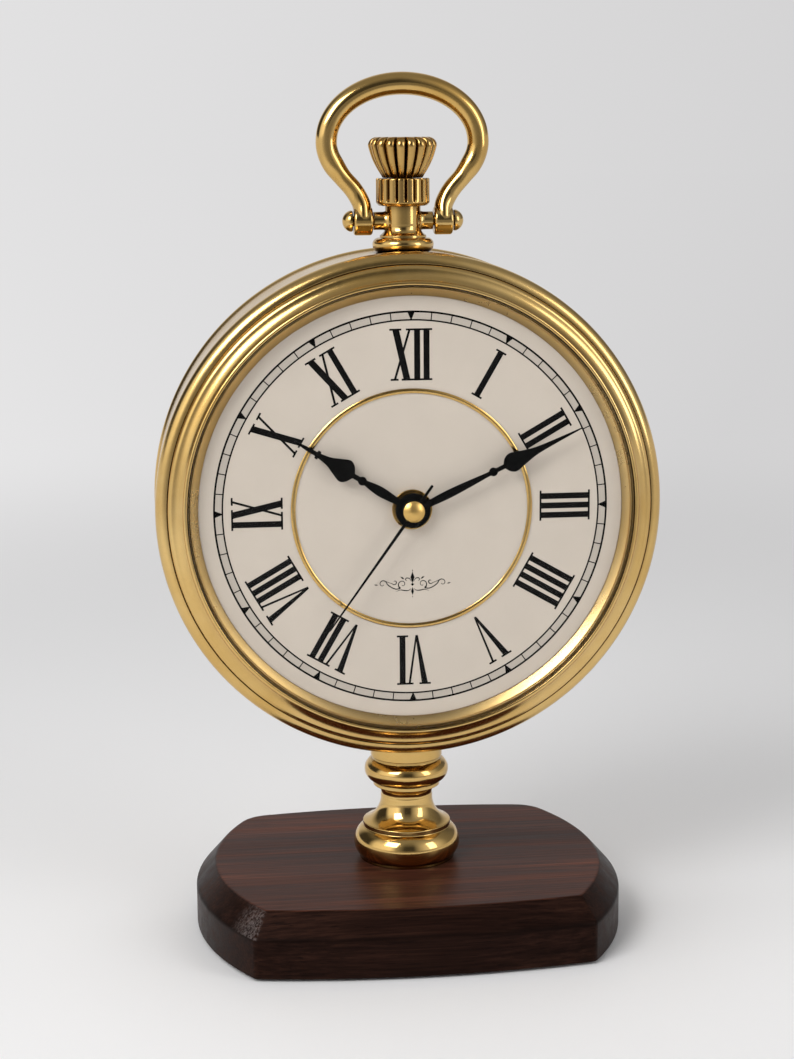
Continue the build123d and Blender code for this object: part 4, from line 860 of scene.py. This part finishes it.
scrollSize = {"centre": (0.0, -22.6), "line": 0.17, "fine": 0.136, "finest": 0.119, "swell": 0.30,
              "rootCurl": (3.0, 0.15, 0.35, 1.35, 300, -60, 12),
              "stem": [(4.9, -1.25), (6.2, -0.75), (7.4, 0.15)],
              "endCurl": (8.9, 0.35, 1.25, 0.30, 165, -150, 11),
              "lowSpray": [(0.35, -1.2), (1.2, -1.75), (2.4, -1.75), (3.6, -1.55), (4.8, -1.95)],
              "sideCurl": (5.35, 0.85, 0.22, 0.85, 30, 330, 9), "sideStem": [(7.0, 0.75), (7.9, 1.15)],
              "highSpray": [(0.30, 0.9), (0.9, 1.8), (1.75, 2.0), (2.1, 1.5), (1.7, 1.15)],
              "sideLeaves": [(3.0, 2.05, 0.26, 0.75, 55), (10.85, 0.15, 0.20, 0.65, 80)],
              "middleLeaves": [(0, 2.15, 0.62, 1.75), (0, -2.0, 0.42, 1.25), (0, 0.05, 0.5, 0.5),
                               (0, 4.25, 0.17, 0.30), (0, -3.65, 0.15, 0.25)],
              "leafQuarter": (0.55, 0.45)}


def swellStroke(points, thinnest, steps=7):
    widest = scrollSize["swell"]
    run = smoothRun(points, steps)
    left, right = [], []
    for i, p in enumerate(run):
        ahead = (run[min(i + 1, len(run) - 1)] - run[max(i - 1, 0)]).normalized()
        side = Vector((-ahead.y, ahead.x))
        half = (thinnest + (widest - thinnest) * math.sin(math.pi * i / (len(run) - 1)) ** 2) / 2
        left.append(tuple(p + side * half))
        right.append(tuple(p - side * half))
    return left + right[::-1]


def curl(cx, cy, start, end, fromAngle, toAngle, steps):
    points = []
    for t in shares(steps):
        radius = start + (end - start) * t
        angle = math.radians(fromAngle + (toAngle - fromAngle) * t)
        points.append((cx + radius * math.cos(angle), cy + radius * math.sin(angle)))
    return points


def leafShape(cx, cy, half, length, turn=0.0):
    x, y = half * scrollSize["leafQuarter"][0], length * scrollSize["leafQuarter"][1]
    points = [(0, -length), (x, -y), (half, 0), (x, y), (0, length), (-x, y), (-half, 0), (-x, -y)]
    c, d = math.cos(math.radians(turn)), math.sin(math.radians(turn))
    return [(cx + u * c + v * d, cy + v * c - u * d) for u, v in points]


def makeScroll():
    s = sizes(scrollSize)
    half = [swellStroke(curl(*s.rootCurl) + s.stem + curl(*s.endCurl), s.line),
            swellStroke(s.lowSpray, s.finest),
            swellStroke(curl(*s.sideCurl) + s.sideStem, s.fine), swellStroke(s.highSpray, s.fine)]
    half += [leafShape(*leaf) for leaf in s.sideLeaves]
    bm = bmesh.new()
    for outline in half:
        inkPrism(bm, outline, 0, s.centre)
        inkPrism(bm, [(-x, y) for x, y in outline], 0, s.centre)
    for leaf in s.middleLeaves:
        inkPrism(bm, leafShape(*leaf), 0, s.centre)
    newPiece("dialScroll", meshFrom(bm, "dialScroll", 20, False), "blackInk")


makeScroll()
print("dial ornament made")


# Applied ring, its pins, and the washer in the middle

middleSize = {"ring": 35.0, "ringHalf": 0.7, "ringEdge": 0.26, "ringRise": 0.5, "washer": 5.95,
              "washerTop": 18.5, "bore": 4.1, "ease": 0.18, "flat": 0.15}
pinSize = {"ringPins": (12, 0.13, 34.72, 18.38), "revealPins": (2, 0.16, 63.35, 19.2)}


def makePins(name, count, radius, circle, front):
    bm = bmesh.new()
    bmesh.ops.create_icosphere(bm, subdivisions=2, radius=radius * mm)
    for v in bm.verts:
        v.co += Vector((0, -front, circle)) * mm
    pins = copiedRound(meshFrom(bm, name, 60), count, "blackInk")
    newPiece(name, shadeSmooth(pins, 60), "blackInk")


def makeDialRing():
    s = sizes(middleSize)
    low, high, edge = s.ring - s.ringHalf, s.ring + s.ringHalf, dialFront + s.ringEdge
    crest = (s.ring, dialFront + s.ringRise)
    path = [(low, dialFront), (low, edge), (crest, (high, edge)), (high, dialFront)]
    mesh = turnedMesh("dialRing", tracePath(path, 10), facing, 256)
    newPiece("dialRing", mesh, "polishedBrass", "dial_ring")
    for name, pins in pinSize.items():
        makePins(name, *pins)
    path = [(s.bore, dialFront), (s.washer, dialFront), (s.washer, s.washerTop), (s.bore, s.washerTop)]
    turnedPiece("dialWasher", path, "polishedBrass", "dial_washer", s.ease, s.flat, around=96)


makeDialRing()
print("dial ring and washer made")


# Hands

handSize = {   # half width and place along the hand, as shares of its length
    "hour": {"length": 40.5, "turn": 301.8, "hub": 5.1, "hole": 2.5, "back": 20.6, "bead": (0.432, 0.032),
             "leaf": [(0.0200, 0.10), (0.0360, 0.277), (0.0190, 0.410)],
             "neck": [(0.0185, 0.40), (0.0185, 0.53)],
             "spade": [(0.0150, 0.505), (0.0640, 0.535), (0.0860, 0.580), (0.0620, 0.645), (0.0330, 0.715),
                       (0.0180, 0.800)],
             "collar": [(0.0320, 0.795), (0.0320, 0.820)],
             "tip": [(0.0175, 0.78), (0.0150, 0.90), (0.0040, 1.0)]},
    "minute": {"length": 55.0, "turn": 64.8, "hub": 3.4, "hole": 1.6, "back": 21.45, "bead": (0.474, 0.0235),
               "leaf": [(0.0150, 0.04), (0.0222, 0.22), (0.0105, 0.46)],
               "neck": [(0.0118, 0.44), (0.0118, 0.56)],
               "spade": [(0.0100, 0.538), (0.0380, 0.558), (0.0524, 0.592), (0.0380, 0.650), (0.0200, 0.730),
                         (0.0105, 0.850), (0.0030, 1.000)]},
    "second": {"length": 43.0, "turn": 215.7, "hub": 2.2, "hole": 0.6, "back": 22.3, "tail": 9.5,
               "tip": [(0.0116, 0.0), (0.00465, 1.0)], "rear": [(0.00884, -0.2209), (0.0116, 0.0)]},
}
handSheet = {"thickness": 0.45, "bevel": 0.07, "station": 0.11, "thinnest": 0.02}
capSize = {"radius": 3.15, "foot": 22.75, "rise": 1.2, "edgeIn": 0.1, "edgeUp": 0.08}


def alongCurve(points, length, curved):
    run = smoothRun(points, 16) if curved and len(points) > 2 else [Vector(p) for p in points]
    return [(p[1] * length, p[0] * length) for p in run]


def widthOn(run, s):
    for (s0, w0), (s1, w1) in zip(run, run[1:]):
        if s0 <= s <= s1 and s1 > s0:
            return w0 + (w1 - w0) * (s - s0) / (s1 - s0)
    return 0.0


def handOutline(h):
    length, hub = h["length"], h["hub"]
    runs = [alongCurve(h[k], length, k in ("leaf", "spade"))
            for k in ("leaf", "neck", "spade", "collar", "tip", "rear") if k in h]
    start = -max(hub, h.get("tail", 0))
    count = int((length - start) / handSheet["station"])
    stations = sorted({start + (length - start) * k / count for k in range(count + 1)}
                      | {-hub * math.cos(math.pi * k / 40) for k in range(41)})
    right = []
    for s in stations:
        width = math.sqrt(max(hub * hub - s * s, 0))
        if "bead" in h:
            place, size = h["bead"][0] * length, h["bead"][1] * length
            width = max(width, math.sqrt(max(size * size - (s - place) ** 2, 0)))
        width = max([width, handSheet["thinnest"]] + [widthOn(run, s) for run in runs])
        right.append((width, s))
    return right + [(-w, s) for w, s in reversed(right)]


def makeHand(key):
    h, s = handSize[key], sizes(handSheet)
    name = key + "Hand"
    curve = bpy.data.curves.new(name, "CURVE")
    curve.dimensions = "2D"
    curve.fill_mode = "BOTH"
    curve.extrude = s.thickness / 2 - s.bevel
    curve.bevel_depth = s.bevel
    curve.bevel_resolution = 2
    curve.offset = -s.bevel
    turns = [math.tau * k / 48 for k in range(48)]
    hole = [(h["hole"] * math.cos(t), h["hole"] * math.sin(t)) for t in turns]
    for outline in (handOutline(h), hole):
        spline = curve.splines.new("POLY")
        spline.points.add(len(outline) - 1)
        for point, (x, y) in zip(spline.points, outline):
            point.co = (x, y, 0, 1)
        spline.use_cyclic_u = True
    mesh = plainMesh(looseObject(name + "Curve", curve))
    turn = math.radians(h["turn"])
    c, d = math.cos(turn), math.sin(turn)
    middle = h["back"] + s.thickness / 2
    place = Matrix(((c, d, 0, 0), (0, 0, -1, -middle), (-d, c, 0, dialHeight), (0, 0, 0, 1)))
    mesh.transform(Matrix.Scale(mm, 4) @ place)
    bm = bmesh.new()
    bm.from_mesh(mesh)
    bmesh.ops.remove_doubles(bm, verts=bm.verts, dist=weldGap)
    newPiece(name, meshFrom(bm, name, 32), "blackHand", key + "_hand", body=key + "_works")


def makeCap():
    s = sizes(capSize)
    path = [(0, s.foot), (s.radius - s.edgeIn, s.foot), (s.radius, s.foot + s.edgeUp),
            domeArc(s.radius, s.rise, s.foot + s.rise)]
    mesh = turnedMesh("handCap", tracePath(path, 16), facing, 72, closed=False)
    newPiece("handCap", mesh, "satinBrass", "hand_cap", body="second_works")


for hand in handSize:
    makeHand(hand)
makeCap()
print("hands made")


# Pendant, collar and crown

bowPivot = 215.3      # height of the pin that the bow swings on
quarterArc = 0.2929   # middle of a quarter round, from its corner
ribSteps = 22         # columns to each rib
pendantSize = {"seat": 206.5, "seatRadius": 7.3, "bulge": (9.1, 208.35), "bulgeEnd": (7.05, 210.4),
               "step": 6.9, "stepLow": 210.5, "stepTop": 211.1, "neck": 5.25, "neckLow": 214.4, "top": 219.7,
               "spigot": 3.0, "spigotTop": 233.7, "saddle": 1.6, "ease": 0.14, "flat": 0.12,
               "arm": [(0, 3.4), (3.4, 3.4), (3.4, 4.55), ((2.87, 5.25), (2.65, 6.3)), (2.65, 8.58),
                       ((2.59, 8.74), (2.43, 8.8)), (0, 8.8)]}
collarSize = {"low": 219.7, "high": 227.7, "radius": 7.95, "bore": 3.1, "count": 18, "depth": 0.85,
              "width": 0.44, "crowning": 0.16, "ribLow": 220.85, "ribHigh": 227.35, "fullDepth": 0.14,
              "foot": [(-1.0, 0.0), (-0.75, 0.06), (-0.16, 0.70), (0.0, 0.95)],
              "ribRows": (0, 0.02, 0.05, 0.09, 0.14, 0.2, 0.4, 0.6, 0.8, 0.95, 1.0),
              "head": [(-0.09, -0.10, 0.95), (-0.32, 0.0, 0.7), (-0.9, 0.0, 0.15), (-1.4, 0.0, 0)]}
crownSize = {"low": 227.8, "high": 239.6, "lowRadius": 6.1, "radius": 10.2, "round": 2.5, "bore": 3.1,
             "boreDepth": 6.0, "count": 18, "depth": 0.60, "width": 0.34, "crowning": 0.95, "swell": 0.55,
             "foot": [(-0.5, 0.0, 0.1), (-0.1, 0.08, 0.35)], "sideLow": 228.1, "footShare": 0.45,
             "shareRise": 2.2, "leastShare": 0.10, "head": [(-0.7, 0.04), (-1.5, 0), (-4.5, 0)]}


def sidePair(name, points, around):   # one on each side of the pivot, turned about its pin
    return [turnedMesh(name, [(r, side * x) for r, x in points], sideways(bowPivot), around, closed=False)
            for side in (-1, 1)]


def makePendant():
    s = sizes(pendantSize)
    flare = (s.neck + (s.step - s.neck) * quarterArc, s.stepTop + (s.neckLow - s.stepTop) * quarterArc)
    path = [(s.seatRadius, s.seat), (s.bulge, s.bulgeEnd), (s.step, s.stepLow), (s.step, s.stepTop),
            (flare, (s.neck, s.neckLow)), (s.neck, s.top), (s.spigot, s.top), (s.spigot, s.spigotTop)]
    eased = easeCorners(tracePath(path, 16), s.ease, closed=False)
    points = [(0, s.seat)] + holdFlats(eased, s.flat, closed=False) + [(0, s.spigotTop)]
    neck = turnedMesh("pendantNeck", points, saddle(s.seat, s.seat + s.saddle, False), 128, closed=False)
    arms = sidePair("pendantArm", tracePath(s.arm, 6), 64)
    mesh = cutOrJoin("pendantNeck", neck, arms, "UNION")
    newPiece("pendantNeck", shadeSmooth(mesh, 34), "polishedBrass", "pendant")


def flutedPiece(name, rows, s, node, closed):
    mesh = turnedMesh(name, rows, upright, s.count * ribSteps, closed)
    mesh = runTree(flutes, mesh, "shadedCrownBrass", {"Count": s.count, "Depth": s.depth * mm, "Width": s.width,
                                                "Crowning": s.crowning * mm})
    newPiece(name, shadeSmooth(mesh, 60), "shadedCrownBrass", node)


def makeCrown():   # rows of radius, height and share of the groove
    s = sizes(collarSize)
    rows = [(s.bore, s.low, 0)] + [(s.radius + out, s.low + up, 0) for out, up in s.foot]
    rows += [(s.radius, s.ribLow + (s.ribHigh - s.ribLow) * t, min(1.0, t / s.fullDepth) ** 0.5)
             for t in s.ribRows]
    rows += [(s.radius + out, s.high + up, share) for out, up, share in s.head] + [(s.bore, s.high, 0)]
    flutedPiece("crownCollar", rows, s, "crown_collar", True)

    s = sizes(crownSize)
    shoulder, topRadius = s.high - s.round, s.radius - s.round
    rows = [(0, s.low + s.boreDepth, 0), (s.bore, s.low + s.boreDepth, 0), (s.bore, s.low, 0)]
    rows += [(s.lowRadius + out, s.low + up, share) for out, up, share in s.foot]
    for t in shares(16):   # the side swells a little between foot and shoulder
        side = s.lowRadius + (s.radius - s.lowRadius) * t + s.swell * math.sin(math.pi * t)
        rows.append((side, s.sideLow + (shoulder - s.sideLow) * t, min(1.0, s.footShare + s.shareRise * t)))
    for t in shares(12)[1:]:
        angle = math.radians(90 * t)
        rows.append((topRadius + s.round * math.cos(angle), shoulder + s.round * math.sin(angle),
                     max(1 - t ** 3, s.leastShare)))
    rows += [(topRadius + out, s.high, share) for out, share in s.head] + [(0, s.high, 0)]
    flutedPiece("flutedCrown", rows, s, "crown", False)


makePendant()
makeCrown()
print("pendant, collar and crown made")


# Bow and its screws

bowSize = {"eyeStart": 9.1, "eyeEnd": 14.7, "eye": 4.2, "eyeRound": 0.8, "eyeArc": 0.293, "flat": 0.25,
           "pin": 1.55, "overrun": 2.0, "halfWidth": 22.4, "top": 39.7, "widest": 0.580, "side": 3.15,
           "crest": 3.3, "cheek": 4.15, "cheekLow": 1.0, "cheekTop": 8.5, "start": (11.9, 0.4, 2.72),
           "run": [(0.540, 0.105, 2.72), (0.585, 0.170, 2.75), (0.665, 0.240, 2.75), (0.790, 0.320, 2.75),
                   (0.900, 0.405, 3.15), (0.975, 0.490, 3.15)]}
bowScrewSize = {"seat": 15.0, "radius": 3.1, "height": 3.0, "edge": 0.8, "foot": 0.2, "rim": 0.7}


def bowWire():   # rows of place across, height and radius, swept round
    s = sizes(bowSize)
    half = [s.start] + [(x * s.halfWidth, z * s.top, r) for x, z, r in s.run]
    widest = s.widest * s.top
    for t in shares(6):
        swing = math.radians(90 * t)
        half.append((s.halfWidth * math.cos(swing), widest + (s.top - widest) * math.sin(swing),
                     s.side + (s.crest - s.side) * t))
    run = smoothRun(half + [(-x, z, r) for x, z, r in reversed(half[:-1])], 9)
    turns = [math.tau * t for t in shares(48)[:-1]]
    loops = []
    for i, p in enumerate(run):
        ahead = run[min(i + 1, len(run) - 1)] - run[max(i - 1, 0)]
        side = Vector((-ahead.y, ahead.x)).normalized() * p.z
        rise = min(max((p.y - s.cheekLow) / (s.cheekTop - s.cheekLow), 0), 1)   # it thickens into its eye
        deep = s.cheek + (p.z - s.cheek) * rise * rise * (3 - 2 * rise)
        loops.append([(p.x + side.x * math.cos(t), deep * math.sin(t), bowPivot + p.y + side.y * math.cos(t))
                      for t in turns])
    return stackMesh("bowWire", loops, 60)


def makeBow():
    s = sizes(bowSize)
    a, b, r, e = s.eyeStart, s.eyeEnd, s.eye, s.eyeRound
    mid = e * s.eyeArc
    path = [(0, a), (r - e, a), ((r - mid, a + mid), (r, a + e)), (r, b - e),
            ((r - mid, b - mid), (r - e, b)), (0, b)]
    eyes = sidePair("bowEye", holdFlats(tracePath(path, 7), s.flat, closed=False), 72)
    low, high = a - s.overrun, b + s.overrun
    holes = sidePair("pinHole", [(0, low), (s.pin, low), (s.pin, high), (0, high)], 40)
    mesh = cutOrJoin("bow", bowWire(), eyes, "UNION")
    mesh = cutOrJoin("bow", mesh, holes, "DIFFERENCE")
    newPiece("bowLoop", shadeSmooth(mesh, 34), "polishedBrass", "bow", body="bow")

    s = sizes(bowScrewSize)
    path = [(0, 0), (s.radius - s.foot, 0), (s.radius, s.foot), (s.radius, s.rim),
            domeArc(s.radius, s.height - s.edge, s.height)]
    domes = sidePair("bowScrew", [(r, s.seat + x) for r, x in tracePath(path, 14)], 64)
    newPiece("bowScrews", joinedMesh("bowScrews", domes), "polishedBrass", "bow_screws")


makeBow()
print("bow and screws made")


# Movement seen through the back window

cellSize = {"front": 6.95, "height": 112.9, "left": -24.1, "right": 25.4, "nubEnd": 26.4, "capRadius": 6.35,
            "foot": [(0, 0), (4.6, 0), (4.9, 0.25), (6.3, 0.25), (6.6, 0), (6.9, 0), (7.25, 0.35)],
            "shoulder": [(7.25, -0.8), (6.75, -0.1), (6.05, 0), (3.2, 0), (2.7, 0.15)],
            "nub": [(2.7, -0.3), (2.4, 0), (0, 0)], "flat": 0.3}
nodeEdge = {"flattest": 4, "sharpest": 40, "segments": 2}


def makeCell():
    s = sizes(cellSize)
    path = [(r, level + x) for level, rows in ((s.left, s.foot), (s.right, s.shoulder), (s.nubEnd, s.nub))
            for r, x in rows]
    points = holdFlats(path, s.flat, closed=False)
    mesh = turnedMesh("dryCell", points, sideways(s.height, s.front), 96, closed=False)
    newPiece("dryCell", mesh, "cellJacket", "battery")
    mesh.materials.append(finishes["plainSteel"])
    for polygon in mesh.polygons:
        radius = math.hypot(polygon.center.y + s.front * mm, polygon.center.z - s.height * mm)
        if radius < s.capRadius * mm:
            polygon.material_index = 1


def dressedNode(name, node, finishName, bevel, body=stand):
    bm = bmesh.new()
    bm.from_mesh(cadNodes[node].data)
    bmesh.ops.remove_doubles(bm, verts=bm.verts, dist=weldGap)
    flattest = math.radians(nodeEdge["flattest"])
    bmesh.ops.dissolve_limit(bm, angle_limit=flattest, verts=bm.verts, edges=bm.edges)
    loose = looseObject(name + "Loose", meshFrom(bm, name, 30, turnOut=False))
    change = loose.modifiers.new("edges", "BEVEL")
    change.width = bevel * mm
    change.segments = nodeEdge["segments"]
    change.limit_method = "ANGLE"
    change.angle_limit = math.radians(nodeEdge["sharpest"])
    newPiece(name, shadeSmooth(plainMesh(loose), 32), finishName, node, body=body)


makeCell()
dressedNode("rearHousing", "movement_rear_housing", "blackPlastic", 0.25)
dressedNode("settingKnob", "setting_knob", "greyPlastic", 0.10, body="setting_works")
print("movement dressed")


# Floor, light and camera

floorSize = {"radius": 12.0, "inner": 2.4, "fadeFrom": 0.18, "fadeTo": 1.10, "nearest": 0.5,
             "colour": (0.88, 0.875, 0.88), "rough": 0.85, "grain": (700, 4), "bump": (0.12, 0.25)}
backdropLook = {"left": (0.83, 0.825, 0.83), "right": (0.65, 0.645, 0.65), "across": 0.35,
                "front": (0.55, 0.97), "frontShare": 0.36}
roomLight = {   # degrees from the front with the light of the wall there
    "walls": [(-180, 0.36), (-156, 0.34), (-138, 0.03), (-100, 0.025), (-84, 0.55), (-44, 0.72),
              (-30, 0.20), (-12, 0.03), (9, 0.03), (22, 0.22), (40, 0.46), (70, 0.36), (96, 0.13),
              (138, 0.07), (156, 0.34), (180, 0.36)],
    "ceiling": (0.15, 0.15, 0.15), "ceilingFrom": (0.50, 0.90), "level": 2.0, "backdropTop": (0.075, 0.115)}
lamps = {   # place, target, size, watts, mirrored in polished pieces
    "keyLight": ((-0.62, -0.62, 0.80), (0, 0, 0.12), (0.50, 0.50), 5.9, True),
    "topLight": ((-0.10, 0.10, 1.05), (0, 0, 0.0), (0.60, 0.40), 2.3, False),
    "fillLight": ((0.72, -0.55, 0.45), (0, 0, 0.12), (0.30, 0.60), 1.5, True),
}
cameraView = {"place": (-0.07476, -0.618, 0.2404), "yaw": 6.68, "pitch": -10.72, "roll": -0.39, "lens": 71.01,
              "sensor": 36}


def backdropColour(tree, across, toFront):   # painted shade in the backdrop: darker to the right, and in front of the clock
    s = sizes(backdropLook)
    tone = blendColour(tree, spread(tree, across, -s.across, s.across), s.left, s.right)
    dim = ramp(tree, spread(tree, toFront, *s.front), [(0.0, 1.0), (1.0, s.frontShare)])
    return blendColour(tree, 1.0, tone, dim, "MULTIPLY")


def seenAsPicture(tree):   # by the camera, through glass or in metal
    path = addNode(tree, "ShaderNodeLightPath").outputs
    seen = math1(tree, "MAXIMUM", path["Is Camera Ray"], path["Is Transmission Ray"])
    return math1(tree, "MAXIMUM", seen, path["Is Glossy Ray"])


def makeFloor():
    s = sizes(floorSize)
    rows = [(0, 0), (s.inner / mm, 0), (s.radius / mm, 0)]
    mesh = turnedMesh("paleFloor", rows, upright, 96, closed=False)
    finish, tree, shader = newFinish("paleFloor", s.colour, s.rough)
    bump(tree, shader, objectNoise(tree, *s.grain), *s.bump)
    place = objectPlace(tree)
    away = addNode(tree, "ShaderNodeVectorMath", {0: place}, operation="LENGTH").outputs["Value"]
    fade = spread(tree, away, s.fadeFrom, s.fadeTo)
    fade.node.interpolation_type = "SMOOTHERSTEP"
    level = addNode(tree, "ShaderNodeSeparateXYZ", {0: place}).outputs
    reach = math1(tree, "MAXIMUM", away, s.nearest)
    across = math1(tree, "DIVIDE", level["X"], reach)
    toFront = math1(tree, "DIVIDE", level["Y"], math1(tree, "MULTIPLY", reach, -1.0))
    glow = addNode(tree, "ShaderNodeEmission", {"Color": backdropColour(tree, across, toFront)})
    seen = math1(tree, "MULTIPLY", fade, seenAsPicture(tree))   # the far floor runs into the backdrop
    mixSurface(tree, seen, shader.outputs[0], glow.outputs[0])
    mesh.materials.append(finish)
    looseObject("paleFloor", mesh)


def makeWorld():
    s = sizes(roomLight)
    world = bpy.data.worlds.new("studio")
    bpy.context.scene.world = world
    world.use_nodes = True
    tree = world.node_tree
    around = addNode(tree, "ShaderNodeTexCoord").outputs["Generated"]
    way = addNode(tree, "ShaderNodeSeparateXYZ", {0: around}).outputs
    toFront = math1(tree, "MULTIPLY", way["Y"], -1.0)
    angle = spread(tree, math1(tree, "ARCTAN2", way["X"], toFront), -math.pi, math.pi)
    walls = ramp(tree, angle, [((degrees + 180) / 360, light) for degrees, light in s.walls])
    room = blendColour(tree, spread(tree, way["Z"], *s.ceilingFrom), walls, s.ceiling)
    lit = addNode(tree, "ShaderNodeVectorMath", {0: room, "Scale": s.level}, operation="SCALE")
    above = spread(tree, way["Z"], *s.backdropTop)   # under it the pale backdrop, all round
    colour = blendColour(tree, above, backdropColour(tree, way["X"], toFront), lit.outputs[0])
    tree.links.new(colour, tree.nodes["Background"].inputs["Color"])


def addLamp(name, place, target, size, watts, mirrored):
    lamp = bpy.data.lights.new(name, "AREA")
    lamp.shape = "RECTANGLE"
    lamp.size, lamp.size_y = size
    lamp.energy = watts
    holder = looseObject(name, lamp)
    holder.location = place
    holder.visible_glossy = mirrored
    holder.rotation_euler = (Vector(target) - Vector(place)).to_track_quat("-Z", "Y").to_euler()


def makeCamera():
    s = sizes(cameraView)
    camera = bpy.data.cameras.new("photoView")
    camera.lens = s.lens
    camera.sensor_width = s.sensor
    holder = looseObject("photoView", camera)
    turn = Matrix.Identity(4)
    for degrees, axis in ((-s.yaw, "Z"), (90 + s.pitch, "X"), (s.roll, "Z")):
        turn = turn @ Matrix.Rotation(math.radians(degrees), 4, axis)
    holder.matrix_world = Matrix.Translation(s.place) @ turn
    bpy.context.scene.camera = holder


makeFloor()
makeWorld()
for lampName, lampSet in lamps.items():
    addLamp(lampName, *lampSet)
makeCamera()
bpy.context.scene.view_settings.view_transform = "Standard"
print("floor, light and camera made")
